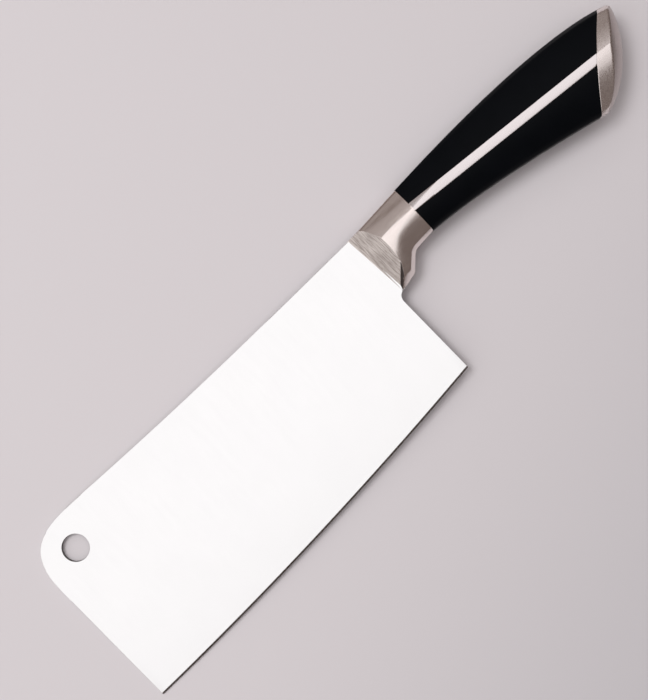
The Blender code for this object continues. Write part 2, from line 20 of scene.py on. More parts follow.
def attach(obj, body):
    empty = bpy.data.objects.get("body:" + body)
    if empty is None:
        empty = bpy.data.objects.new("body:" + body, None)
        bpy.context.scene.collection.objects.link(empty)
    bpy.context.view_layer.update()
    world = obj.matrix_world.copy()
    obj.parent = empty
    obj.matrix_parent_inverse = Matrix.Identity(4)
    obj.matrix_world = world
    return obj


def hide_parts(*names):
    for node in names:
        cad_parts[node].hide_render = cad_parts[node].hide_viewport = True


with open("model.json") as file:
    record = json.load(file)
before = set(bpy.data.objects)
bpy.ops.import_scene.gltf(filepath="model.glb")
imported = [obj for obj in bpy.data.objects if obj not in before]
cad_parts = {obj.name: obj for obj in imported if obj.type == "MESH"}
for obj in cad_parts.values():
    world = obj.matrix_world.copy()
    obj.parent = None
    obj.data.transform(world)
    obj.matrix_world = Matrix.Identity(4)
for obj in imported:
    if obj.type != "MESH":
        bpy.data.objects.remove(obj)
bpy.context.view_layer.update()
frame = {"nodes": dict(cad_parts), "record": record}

MM = 0.001
BODY = "root"  # nothing on the knife moves, so one body carries every piece
SEAM = 0.05 * MM  # visible joint line between two pieces that are ground flush
HALVINGS = 36  # of the span in a search
MERGE = 0.001 * MM  # points nearer than this are one
LOG = logging.getLogger("cleaver")


class Side(Enum):
    """The two faces of the knife, by the sign of Z."""

    LEFT = 1
    RIGHT = -1


# ---- Small helpers ----
def mix(a: float | Vector, b: float | Vector, share: float) -> float | Vector:
    """Return the value this share of the way from a to b."""
    return a + (b - a) * share


def linear(colour: str) -> tuple[float, float, float, float]:
    """Turn an sRGB colour into the linear values that Blender's sockets take.

    Args:
        colour: Six hex digits after a #.

    Returns:
        Linear red, green and blue, and an alpha of 1.
    """
    parts = [int(colour[place : place + 2], 16) / 255 for place in (1, 3, 5)]
    turned = [part / 12.92 if part <= 0.04045 else ((part + 0.055) / 1.055) ** 2.4 for part in parts]
    return (turned[0], turned[1], turned[2], 1.0)


def bezier(points: Sequence[Vector], t: float) -> Vector:
    """Return a point of the Bezier curve through these control points."""
    while len(points) > 1:
        points = [mix(a, b, t) for a, b in zip(points, points[1:])]
    return points[0]


def solve(function: Callable[[float], float], low: float, high: float) -> float:
    """Find where a rising function crosses zero.

    Args:
        function: Negative at low and positive at high.
        low: One end of the search.
        high: Its other end.

    Returns:
        The place of the crossing.
    """
    for _ in range(HALVINGS):
        middle = (low + high) / 2
        if function(middle) < 0:
            low = middle
        else:
            high = middle
    return low


def rounded(before: Vector, corner: Vector, after: Vector, radius: float, steps: int) -> list[Vector]:
    """Round a corner with an arc.

    Args:
        before: A point on the way in.
        corner: The sharp corner.
        after: A point on the way out.
        radius: The arc's radius.
        steps: How many pieces the arc has.

    Returns:
        The arc's points, in order.
    """
    back = (before - corner).normalized()
    ahead = (after - corner).normalized()
    half = back.angle(ahead) / 2
    centre = corner + (back + ahead).normalized() * radius / math.sin(half)
    first = corner + back * radius / math.tan(half) - centre
    last = corner + ahead * radius / math.tan(half) - centre
    turn = first.angle(last)
    points = []
    for step in range(steps + 1):
        share = step / steps
        arm = first * math.sin((1 - share) * turn) + last * math.sin(share * turn)
        points.append(centre + arm / math.sin(turn))
    return points


def eased(before: Vector, corner: Vector, after: Vector, reach: float, steps: int) -> list[Vector]:
    """Round a corner with an arc that starts and ends this far from it."""
    half = (before - corner).angle(after - corner) / 2
    return rounded(before, corner, after, reach * math.tan(half), steps)


# ---- The handle's form, which bolster, strips, covers and cap share ----
class Spot(Enum):
    """Stretches of the half cross-section, from the top round one side to the bottom."""

    TOP = "top"
    UPPER = "upper side"
    CREST = "crest"
    LOWER = "lower side"
    BOTTOM = "bottom"


@dataclass(frozen=True)
class HandleForm:
    """Outline and cross-sections of bolster, grip and cap, as one smooth form.

    The cross-section's places are (spot, share, side) triples. A thickness is measured along Z and a
    height along Y. A rise or a fall belongs to the length of the same name, a slope is a rise for a unit
    of length, and a pull is how far a curve's control point stands from the curve's end.
    """

    blade_length: float = 0.1650
    spine: float = 0.0718  # height of the spine at the handle, above the cutting edge's front corner
    bolster_length: float = 0.0254
    bolster_height: float = 0.0199
    bolster_rise: float = 0.0013
    bolster_thickness: float = 0.0156
    nose_setback: float = 0.0024
    nose_thickness: float = 0.0138
    nose_edge_thickness: float = 0.0110
    nose_heel_thickness: float = 0.0086  # over the lower chamfers, above the toe
    nose_top_thickness: float = 0.0090
    nose_bottom_thickness: float = 0.0024
    toe_depth: float = 0.0266
    toe_length: float = 0.0077
    toe_rise: float = 0.0015
    toe_ramp_length: float = 0.0058
    toe_ramp_rise: float = 0.0058
    toe_rounding: float = 0.0016
    throat_rounding: float = 0.0040
    crest_sag: float = 0.0080  # the crest sinks by this much from the bolster's back face to its nose
    crest_sag_power: float = 1.5  # the more, the nearer to the nose it sinks
    crest_at_nose: float = 0.0080  # its height there
    grip_top_length: float = 0.0965
    grip_top_fall: float = 0.00435
    grip_top_end_slope: float = 0.2956
    grip_top_front_pull: float = 0.0350
    grip_top_back_pull: float = 0.0220
    grip_bottom_length: float = 0.0717
    grip_bottom_fall: float = 0.0131
    grip_bottom_start_slope: float = 0.0540
    grip_bottom_end_slope: float = 0.2540
    grip_bottom_pull: float = 0.0200
    butt_thickness: float = 0.0228
    edge_thickness: float = 0.0112  # where the sides meet the chamfers
    butt_edge_thickness: float = 0.0148  # over the upper chamfers
    top_thickness: float = 0.0092  # between the upper chamfers
    bottom_thickness: float = 0.0078
    chamfer: float = 0.0016  # its height
    toe_chamfer: float = 0.0036  # it widens to this at the toe
    toe_chamfer_start: float = 0.62  # of the way to the nose
    top_crown: float = 0.0003
    chamfer_swell: float = 0.00007  # the chamfers are rounded by this much
    # Bulge of the sides at the bolster and at the butt: 0 is flat, and 1 is level at the crest.
    upper_roundness: tuple[float, float] = (0.35, 0.50)
    lower_roundness: tuple[float, float] = (0.56, 0.75)
    band_drop: float = 0.00029  # from the strips' middle at the bolster down to the shining band's upper edge
    band_spread: float = 0.0140  # behind the bolster it has widened to the whole strip
    band_edge: float = 0.00015  # least width of the slope above the band
    band_slope: float = math.tan(math.radians(10))  # of the crest above the band
    band_place: float = 0.25  # the band's upper edge among the crest's shares
    strip_width: float = 0.0035
    strip_below_top: float = 0.00865  # of its middle, at the bolster's back face
    strip_fall: float = 0.1017  # for a unit of length
    strip_fall_off: float = math.tan(math.radians(7)) / 2  # how far the band falls off, for its width
    cut_hollow: float = 0.0020  # the cut before the cap bows forwards by this much
    slope_step: float = 0.3 * MM  # over which the slope of a line is measured
    side_steps: int = 12
    crest_steps: int = 8
    chamfer_steps: int = 4
    toe_steps: int = 6
    throat_steps: int = 8
    cut_passes: int = 14  # that find where the cut meets the form

    @property
    def back(self) -> float:
        """X of the bolster's back face."""
        return self.blade_length + self.bolster_length

    @property
    def nose(self) -> float:
        """X of the bolster's nose."""
        return self.blade_length + self.nose_setback

    @property
    def top(self) -> float:
        """Height of the top line at the bolster's back face."""
        return self.spine + self.bolster_rise

    @property
    def bottom(self) -> float:
        """Height of the underside at the bolster's back face."""
        return self.top - self.bolster_height

    @property
    def toe(self) -> float:
        """Height of the toe's underside at the nose."""
        return self.spine - self.toe_depth

    @property
    def cut_top(self) -> Vector:
        """Upper end of the slanting cut before the cap."""
        return Vector((self.back + self.grip_top_length, self.top - self.grip_top_fall))

    @property
    def cut_bottom(self) -> Vector:
        """Lower end of the slanting cut before the cap."""
        return Vector((self.back + self.grip_bottom_length, self.bottom - self.grip_bottom_fall))

    @property
    def cut_along(self) -> Vector:
        """Direction of the cut, from the bottom to the top."""
        return (self.cut_top - self.cut_bottom).normalized()

    @property
    def cut_out(self) -> Vector:
        """Direction square to the cut, towards the butt."""
        return Vector((self.cut_along.y, -self.cut_along.x))

    def top_slope(self) -> float:
        """Return the rise of the bolster's top line per unit of length."""
        return self.bolster_rise / (self.back - self.nose)

    def top_line(self, x: float) -> float:
        """Return the height of the top of the bolster and handle."""
        if x < self.back:
            return self.top - self.top_slope() * (self.back - x)
        curve = (
            Vector((self.back, self.top)),
            Vector((self.back, self.top)) + self.grip_top_front_pull * Vector((1, self.top_slope())),
            self.cut_top + self.grip_top_back_pull * Vector((-1, self.grip_top_end_slope)),
            self.cut_top,
        )
        return self.curve_height(curve, x)

    def bottom_line(self, x: float) -> float:
        """Return the height of the underside of the bolster and handle."""
        if x < self.back:
            path = self.bolster_underside()
            for near, far in zip(path, path[1:]):
                if x <= far.x:
                    break
            return mix(near.y, far.y, (x - near.x) / (far.x - near.x))
        curve = (
            Vector((self.back, self.bottom)),
            Vector((self.back, self.bottom))
            + self.grip_bottom_pull * Vector((1, -self.grip_bottom_start_slope)),
            self.cut_bottom + self.grip_bottom_pull * Vector((-1, self.grip_bottom_end_slope)),
            self.cut_bottom,
        )
        return self.curve_height(curve, x)

    @staticmethod
    def curve_height(curve: Sequence[Vector], x: float) -> float:
        """Return the height at x of a Bezier curve along +X, straight on past its end."""
        if x >= curve[-1].x:
            near, far = curve[-1], curve[-2]
            return near.y + (x - near.x) * (far.y - near.y) / (far.x - near.x)
        return bezier(curve, solve(lambda t: bezier(curve, t).x - x, 0.0, 1.0)).y

    def bolster_underside(self) -> list[Vector]:
        """Return points along the bolster's underside: toe, ramp and throat."""
        nose = Vector((self.nose, self.toe))
        toe = nose + Vector((self.toe_length, self.toe_rise))
        throat = toe + Vector((self.toe_ramp_length, self.toe_ramp_rise))
        back = Vector((self.back, self.bottom))
        toe_arc = rounded(nose, toe, throat, self.toe_rounding, self.toe_steps)
        throat_arc = rounded(toe, throat, back, self.throat_rounding, self.throat_steps)
        return [nose, *toe_arc, *throat_arc, back]

    def strip_line(self, x: float) -> float:
        """Return the height of the middle of the steel strips."""
        return self.top - self.strip_below_top - self.strip_fall * (x - self.back)

    def to_nose(self, x: float) -> float:
        """Return the share of the bolster between its back face and x."""
        return min(max((self.back - x) / (self.back - self.nose), 0.0), 1.0)

    def to_butt(self, x: float) -> float:
        """Return the share of the grip's top between the bolster and x."""
        return max((x - self.back) / self.grip_top_length, 0.0)

    def chamfer_height(self, upper: bool, x: float) -> float:
        """Return the height that a chamfer takes up in the cross-section, more where its line climbs."""
        line = self.top_line if upper else self.bottom_line
        slope = (line(x + self.slope_step) - line(x - self.slope_step)) / (2 * self.slope_step)
        height = self.chamfer
        if not upper:
            widening = (self.to_nose(x) - self.toe_chamfer_start) / (1 - self.toe_chamfer_start)
            height = mix(self.chamfer, self.toe_chamfer, max(widening, 0.0))
        return height * math.hypot(1, slope)

    def edge_reach(self, x: float, upper: bool) -> float:
        """Return how far the line between side and chamfer stands from the middle plane."""
        at_nose = self.nose_edge_thickness if upper else self.nose_heel_thickness
        reach = mix(self.edge_thickness, at_nose, self.to_nose(x)) / 2
        if upper:
            reach += (self.butt_edge_thickness - self.edge_thickness) / 2 * self.to_butt(x)
        return reach

    def chamfer_point(self, x: float, upper: bool, share: float, side: float) -> Vector:
        """Return a point of the top or the bottom: its middle line, or one of its chamfers."""
        line, out = (self.top_line, 1) if upper else (self.bottom_line, -1)
        if side == 0:
            return Vector((x, line(x) + out * self.top_crown, 0))
        if upper:
            narrow = mix(self.top_thickness, self.nose_top_thickness, self.to_nose(x)) / 2
        else:
            narrow = mix(self.bottom_thickness, self.nose_bottom_thickness, self.to_nose(x)) / 2
        flat = Vector((narrow, line(x)))
        chamfer = Vector((self.edge_reach(x, upper), line(x) - out * self.chamfer_height(upper, x))) - flat
        square = Vector((abs(chamfer.y), out * chamfer.x)).normalized()
        swell = self.chamfer_swell * 4 * share * (1 - share)  # a parabola, 1 at its middle
        spot_on = flat + chamfer * share + square * swell
        return Vector((x, spot_on.y, side * spot_on.x))

    def crest(self, x: float) -> tuple[tuple[float, float], tuple[float, float], tuple[float, float]]:
        """Measure the crest, whose shining band is level and has a slope above it.

        Args:
            x: Place along the knife.

        Returns:
            Height and distance from the middle plane, for the crest's upper edge, the band's upper edge
            and the crest's lower edge.
        """
        to_nose = self.to_nose(x)
        middle = self.strip_line(x) - self.crest_sag * to_nose**self.crest_sag_power
        half = mix(self.strip_width, self.crest_at_nose, to_nose**2) / 2
        reach = mix(self.bolster_thickness, self.nose_thickness, to_nose) / 2
        reach += (self.butt_thickness - self.bolster_thickness) / 2 * self.to_butt(x)
        high, low = middle + half, middle - half
        if x < self.back:
            band = self.strip_line(self.back) - self.band_drop
        else:
            start = self.strip_width / 2 - self.band_drop
            band = low + mix(start, self.strip_width, min((x - self.back) / self.band_spread, 1.0))
        band = min(band, high - self.band_edge)
        high_reach = reach - self.band_slope * (high - band)
        low_reach = reach - self.strip_fall_off * (band - low)
        return (high, high_reach), (band, reach), (low, low_reach)

    def crest_point(self, x: float, share: float, side: float) -> Vector:
        """Return a point of the crest: the slope above the band, or the band, which falls off downwards."""
        (high, high_reach), (band, reach), (low, low_reach) = self.crest(x)
        if share <= self.band_place:
            down = share / self.band_place
            return Vector((x, mix(high, band, down), side * mix(high_reach, reach, down)))
        down = (share - self.band_place) / (1 - self.band_place)
        return Vector((x, mix(band, low, down), side * mix(reach, low_reach, down**2)))

    def side_point(self, x: float, upper: bool, share: float, side: float) -> Vector:
        """Return a point of a side, which bulges between its chamfer and the crest."""
        (high, high_reach), _, (low, low_reach) = self.crest(x)
        roundness = mix(*(self.upper_roundness if upper else self.lower_roundness), min(self.to_butt(x), 1.0))
        if upper:
            edge = self.top_line(x) - self.chamfer_height(upper, x)
            crest, crest_reach, inwards = high, high_reach, share
        else:
            edge = self.bottom_line(x) + self.chamfer_height(upper, x)
            crest, crest_reach, inwards = low, low_reach, 1 - share
        bulge = inwards * (1 + roundness * (1 - inwards))
        reach = mix(self.edge_reach(x, upper), crest_reach, bulge)
        return Vector((x, mix(edge, crest, inwards), side * reach))

    def point(self, x: float, spot: Spot, share: float, side: float) -> Vector:
        """Return one point of the form's surface.

        Args:
            x: Place along the knife.
            spot: The stretch of the cross-section.
            share: How far along that stretch, from its upper end to its lower one. At the top and bottom,
                how far from the flat in the middle out over the chamfer.
            side: 1 on the left, -1 on the right, 0 on the middle plane.

        Returns:
            The point, in the knife's own frame.
        """
        if spot in (Spot.TOP, Spot.BOTTOM):
            return self.chamfer_point(x, spot is Spot.TOP, share, side)
        if spot is Spot.CREST:
            return self.crest_point(x, share, side)
        return self.side_point(x, spot is Spot.UPPER, share, side)

    def half_places(self, side: float) -> list[tuple[Spot, float, float]]:
        """Return the places of one side, from the top's edge to the bottom's edge."""
        chamfer = [step / self.chamfer_steps for step in range(self.chamfer_steps)]
        upper = [(Spot.UPPER, step / self.side_steps, side) for step in range(self.side_steps)]
        crest = [(Spot.CREST, step / self.crest_steps, side) for step in range(self.crest_steps + 1)]
        lower = [(Spot.LOWER, (step + 1) / self.side_steps, side) for step in range(self.side_steps)]
        above = [(Spot.TOP, share, side) for share in chamfer]
        below = [(Spot.BOTTOM, share, side) for share in reversed(chamfer)]
        return [*above, *upper, *crest, *lower, *below]

    def round_places(self) -> list[tuple[Spot, float, float]]:
        """Return the places all round the form, from the top round the left side."""
        left = self.half_places(1)
        right = self.half_places(-1)[::-1]
        return [(Spot.TOP, 0.0, 0.0), *left, (Spot.BOTTOM, 0.0, 0.0), *right]

    def cut_x(self, y: float, shift: float) -> float:
        """Return X of the bowed, slanting cut at a height, moved by shift towards the butt."""
        half = (self.cut_top - self.cut_bottom).length / 2
        radius = (half**2 + self.cut_hollow**2) / (2 * self.cut_hollow)
        middle = (self.cut_top + self.cut_bottom) / 2
        centre = middle + self.cut_out * (radius - self.cut_hollow + shift)
        return centre.x - math.sqrt(radius**2 - (y - centre.y) ** 2)

    def cut_places(self, places: Iterable[tuple[Spot, float, float]], shift: float) -> list[float]:
        """Return X of the slanting cut at each place of the cross-section."""
        found = []
        for place in places:
            x = self.cut_bottom.x
            for _ in range(self.cut_passes):
                x = self.cut_x(self.point(x, *place).y, shift)
            found.append(x)
        return found


def shrunk(ring: Sequence[Vector], depth: float) -> list[Vector]:
    """Draw a closed ring in towards its middle, as seen along X.

    Args:
        ring: Points round the form.
        depth: How far its highest, lowest and widest points move.

    Returns:
        The moved points, each at its own X.
    """
    low, high = min(point.y for point in ring), max(point.y for point in ring)
    middle = (low + high) / 2
    tall = 1 - depth / (high - middle)
    wide = 1 - depth / max(point.z for point in ring)
    return [Vector((point.x, middle + (point.y - middle) * tall, point.z * wide)) for point in ring]


# ---- Meshes ----
def loft(
    bm: bmesh.types.BMesh, rings: Sequence[Sequence[Vector]], closed: bool = True
) -> list[bmesh.types.BMEdge]:
    """Draw out a row of edges through one ring of points after another.

    Args:
        bm: The mesh that it goes into, with int layers named place and ring.
        rings: Rows of points, each as long as the first.
        closed: Whether the row joins up with its own start.

    Returns:
        The edges of the last row.
    """
    place, number = bm.verts.layers.int["place"], bm.verts.layers.int["ring"]
    row = [bm.verts.new(point) for point in rings[0]]
    for index, vert in enumerate(row):
        vert[place] = index
    edges = [bm.edges.new(pair) for pair in zip(row, row[1:])]
    if closed:
        edges.append(bm.edges.new((row[-1], row[0])))
    for count, ring in enumerate(rings[1:], 1):
        made = bmesh.ops.extrude_edge_only(bm, edges=edges)["geom"]
        fresh = {item for item in made if isinstance(item, bmesh.types.BMVert)}
        edges = [item for item in made if isinstance(item, bmesh.types.BMEdge) and set(item.verts) <= fresh]
        for vert in fresh:
            vert.co = ring[vert[place]]
            vert[number] = count
    return edges


def new_mesh() -> bmesh.types.BMesh:
    """Return an empty mesh that loft can draw in."""
    bm = bmesh.new()
    bm.verts.layers.int.new("place")
    bm.verts.layers.int.new("ring")
    return bm


def fill(bm: bmesh.types.BMesh, edges: Iterable[bmesh.types.BMEdge]) -> None:
    """Close a ring of edges with one face."""
    bmesh.ops.contextual_create(bm, geom=list(edges))


def solid(rings: Sequence[Sequence[Vector]]) -> bmesh.types.BMesh:
    """Return a mesh drawn through these rings and closed at both ends."""
    bm = new_mesh()
    fill(bm, loft(bm, rings))
    bmesh.ops.holes_fill(bm, edges=bm.edges, sides=0)
    return bm


def soften(
    bm: bmesh.types.BMesh,
    edges: Iterable[bmesh.types.BMEdge],
    width: float,
    segments: int = 3,
    clamp: bool = True,
) -> None:
    """Round off edges with a bevel of this width."""
    bmesh.ops.bevel(
        bm,
        geom=list(edges),
        offset=width,
        offset_type="OFFSET",
        affect="EDGES",
        segments=segments,
        profile=0.5,
        material=-1,
        clamp_overlap=clamp,
    )


def edges_past(bm: bmesh.types.BMesh, angle: float) -> list[bmesh.types.BMEdge]:
    """Return the edges whose two faces meet at more than this angle, in radians."""
    return [edge for edge in bm.edges if edge.is_manifold and angle < edge.calc_face_angle(0.0) < math.pi]


@dataclass(frozen=True)
class Lie:
    """How the knife lies on the table, read from the flat cheeks that the record states."""

    cheek_point: tuple[float, float, float] = (0.0825, 0.0370, 0.0)  # between the two stated points

    def matrix(self) -> Matrix:
        """Return the matrix that takes the knife's own frame to the row's frame."""
        mounts = {mount["name"]: mount for mount in frame["record"]["mounts"]}
        left, right = mounts["left_cheek"], mounts["right_cheek"]
        up = (Vector(left["axis"]) - Vector(right["axis"])).normalized()
        turn = Vector((0, 0, 1)).rotation_difference(up).to_matrix().to_4x4()
        middle = (Vector(left["pos_m"]) + Vector(right["pos_m"])) / 2
        return Matrix.Translation(middle - turn @ Vector(self.cheek_point)) @ turn


@dataclass(frozen=True)
class Bench:
    """Turns finished meshes into placed objects with their materials and their calls to the frame."""

    lie: Matrix

    def thing(self, bm: bmesh.types.BMesh, name: str) -> bpy.types.Object:
        """Return an object with this mesh, still in the knife's own frame."""
        bmesh.ops.recalc_face_normals(bm, faces=bm.faces)
        mesh = bpy.data.meshes.new(name)
        bm.to_mesh(mesh)
        bm.free()
        thing = bpy.data.objects.new(name, mesh)
        bpy.context.scene.collection.objects.link(thing)
        return thing

    def cut(self, piece: bpy.types.Object, tool: bpy.types.Object) -> None:
        """Cut the tool's form out of the piece and remove the tool."""
        modifier = piece.modifiers.new("work", "BOOLEAN")
        modifier.operation = "DIFFERENCE"
        modifier.solver = "EXACT"
        modifier.object = tool
        graph = bpy.context.evaluated_depsgraph_get()
        mesh = bpy.data.meshes.new_from_object(piece.evaluated_get(graph))
        piece.modifiers.clear()
        piece.data = mesh
        bpy.data.objects.remove(tool)

    def place(
        self,
        piece: bpy.types.Object,
        node: str,
        slot: str,
        materials: Sequence[bpy.types.Material],
        sharp: float = 32.0,
    ) -> bpy.types.Object:
        """Put a finished piece where it lies and hand it to the frame.

        Args:
            piece: The object, in the knife's own frame.
            node: The CAD node that it stands for.
            slot: The record's material slot; not used.
            materials: Its materials, in the order of its faces' indices.
            sharp: Edges with a larger angle stay crisp, in degrees.

        Returns:
            The piece.
        """
        mesh = piece.data
        mesh.transform(self.lie)
        for material in materials:
            mesh.materials.append(material)
        mesh.shade_smooth()
        mesh.set_sharp_from_angle(angle=math.radians(sharp))
        weighted = piece.modifiers.new("even shading", "WEIGHTED_NORMAL")
        weighted.keep_sharp = True
        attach(piece, BODY)
        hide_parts(node)
        LOG.info("%s: %d faces", piece.name, len(mesh.polygons))
        return piece


# ---- Materials ----
class Recipe:
    """The node tree of a material or a world, with the tools to fill it."""

    def __init__(self, owner: bpy.types.Material | bpy.types.World) -> None:
        """Start with only the tree's own shader.

        Args:
            owner: The new material or world.
        """
        owner.use_nodes = True
        self.owner = owner
        self.tree = owner.node_tree

    def feed(self, node: bpy.types.Node, **links: object) -> bpy.types.Node:
        """Set or link a node's inputs.

        Args:
            node: The node.
            **links: Inputs by name, with _ for a space, or by number as in_0. Each is an output or a value.

        Returns:
            The node.
        """
        for key, value in links.items():
            socket = node.inputs[int(key[3:]) if key.startswith("in_") else key.replace("_", " ")]
            if isinstance(value, bpy.types.NodeSocket):
                self.tree.links.new(value, socket)
            else:
                socket.default_value = value
        return node

    def node(self, kind: str, settings: dict | None = None, **links: object) -> bpy.types.Node:
        """Add a node.

        Args:
            kind: The node's type.
            settings: Attributes of the node.
            **links: Its inputs, as feed takes them.

        Returns:
            The node.
        """
        made = self.tree.nodes.new(kind)
        for key, value in (settings or {}).items():
            setattr(made, key, value)
        return self.feed(made, **links)

    def surface(self, **links: object) -> bpy.types.Material:
        """Set or link the shader's inputs by name and return the material."""
        self.feed(self.tree.nodes["Principled BSDF"], **links)
        return self.owner

    def place(self, sizes: Sequence[float]) -> bpy.types.NodeSocket:
        """Return object coordinates that count in these sizes along X, Y and Z, in metres."""
        coordinates = self.node("ShaderNodeTexCoord").outputs["Object"]
        scale = [1 / size for size in sizes]
        return self.node("ShaderNodeMapping", Vector=coordinates, Scale=scale).outputs["Vector"]

    def noise(
        self, vector: bpy.types.NodeSocket, detail: float, roughness: float = 0.5
    ) -> bpy.types.NodeSocket:
        """Return noise of one cell per unit of the coordinates given."""
        made = self.node("ShaderNodeTexNoise", Vector=vector, Scale=1.0, Detail=detail, Roughness=roughness)
        return made.outputs["Fac"]

    def span(self, value: bpy.types.NodeSocket, low: float, high: float) -> bpy.types.NodeSocket:
        """Stretch noise, nearly all of which lies between 0.3 and 0.7, over a span of values."""
        ends = {"From_Min": 0.3, "From_Max": 0.7, "To_Min": low, "To_Max": high}
        return self.node("ShaderNodeMapRange", Value=value, **ends).outputs["Result"]

    def blend(self, share: bpy.types.NodeSocket, first: str, second: str) -> bpy.types.NodeSocket:
        """Return a colour between two sRGB colours."""
        colours = {"in_6": linear(first), "in_7": linear(second)}
        return self.node("ShaderNodeMix", {"data_type": "RGBA"}, Factor=share, **colours).outputs[2]

    def bump(self, height: bpy.types.NodeSocket, depth: float, strength: float = 1.0) -> bpy.types.NodeSocket:
        """Return normals that the height disturbs by a depth in metres."""
        made = self.node("ShaderNodeBump", Strength=strength, Distance=depth, Height=height)
        return made.outputs["Normal"]


@dataclass(frozen=True)
class GroundSteel:
    """Stainless steel with a grain that breaks up its reflections.

    Real scratches and dimples are 0.01 to 0.1 mm across, too fine to show. They are drawn as coarse as
    the streaks and patches that they form together.
    """

    name: str
    light: str  # sRGB colour where the grain catches the light
    dark: str  # sRGB colour between
    roughness: tuple[float, float]  # smooth and rough streaks
    grain: tuple[float, float, float]  # scratch width or length along X, Y and Z, in metres
    depth: float  # of the scratches, in metres
    cloud: float = 14 * MM  # size of the slow change from one place to the next
    cloud_share: float = 0.3  # of the change in colour; the grain makes the rest

    def build(self) -> bpy.types.Material:
        """Return the material."""
        recipe = Recipe(bpy.data.materials.new(self.name))
        grain = recipe.noise(recipe.place(self.grain), detail=3.0, roughness=0.6)
        cloud = recipe.noise(recipe.place([self.cloud] * 3), detail=2.0)
        slow = recipe.node("ShaderNodeMath", {"operation": "MULTIPLY"}, in_0=cloud, in_1=self.cloud_share)
        weights = {"in_1": 1 - self.cloud_share, "in_2": slow.outputs[0]}
        shade = recipe.node("ShaderNodeMath", {"operation": "MULTIPLY_ADD"}, in_0=grain, **weights)
        share = recipe.span(shade.outputs[0], 0.0, 1.0)
        return recipe.surface(
            Base_Color=recipe.blend(share, self.dark, self.light),
            Metallic=1.0,
            Roughness=recipe.span(grain, *self.roughness),
            Normal=recipe.bump(grain, self.depth),
        )


@dataclass(frozen=True)
class Moulding:
    """Filled nylon, moulded: a fine spark-eroded texture with a low sheen and a few handling marks."""

    name: str
    body: str  # its sRGB colour
    worn: str  # and where it has been handled
    roughness: tuple[float, float]  # of both
    sheen: float  # specular level
    texture: float = 0.35 * MM  # a real texture of 0.05 mm, drawn coarser so that it shows
    depth: float = 0.006 * MM  # of the texture
    marks: float = 11 * MM  # size of the handling marks

    def build(self) -> bpy.types.Material:
        """Return the material."""
        recipe = Recipe(bpy.data.materials.new(self.name))
        fine = recipe.noise(recipe.place([self.texture] * 3), detail=2.0)
        cloud = recipe.noise(recipe.place([self.marks] * 3), detail=3.0)
        return recipe.surface(
            Base_Color=recipe.blend(recipe.span(cloud, 0.0, 1.0), self.body, self.worn),
            Roughness=recipe.span(cloud, *self.roughness),
            Specular_IOR_Level=self.sheen,
            Normal=recipe.bump(fine, self.depth),
        )


@dataclass(frozen=True)
class Tabletop:
    """Matt pale paper with painted light falloff: its colour is lighter towards the window and darker away
    from it.
    """

    # Painted light falloff: the table's colour runs from light, towards the window, to dark away from it.
    light: str = "#CFCBCE"
    dark: str = "#BEBCC0"
    start: float = -0.01  # from the middle of the table to where the painted falloff starts to darken it
    end: float = 0.22
    away: tuple[float, float] = (0.33, -0.94)  # direction in which the painted falloff darkens it
    roughness: float = 0.9
    sheen: float = 0.2  # specular level
    fibre: float = 0.8 * MM  # real fibres are about 0.03 mm thick; drawn coarser so that they show
    fibre_depth: float = 0.01 * MM

    def build(self) -> bpy.types.Material:
        """Return the material."""
        recipe = Recipe(bpy.data.materials.new("pale_paper_with_painted_falloff"))
        coordinates = recipe.node("ShaderNodeTexCoord").outputs["Object"]
        along = recipe.node(
            "ShaderNodeVectorMath", {"operation": "DOT_PRODUCT"}, in_0=coordinates, in_1=(*self.away, 0)
        ).outputs["Value"]
        share = recipe.node(
            "ShaderNodeMapRange",
            {"interpolation_type": "SMOOTHSTEP"},
            Value=along,
            From_Min=self.start,
            From_Max=self.end,
        ).outputs["Result"]
        fibre = recipe.noise(recipe.place([self.fibre] * 3), detail=3.0)
        return recipe.surface(
            Base_Color=recipe.blend(share, self.light, self.dark),
            Roughness=self.roughness,
            Specular_IOR_Level=self.sheen,
            Normal=recipe.bump(fibre, self.fibre_depth, strength=0.3),
        )


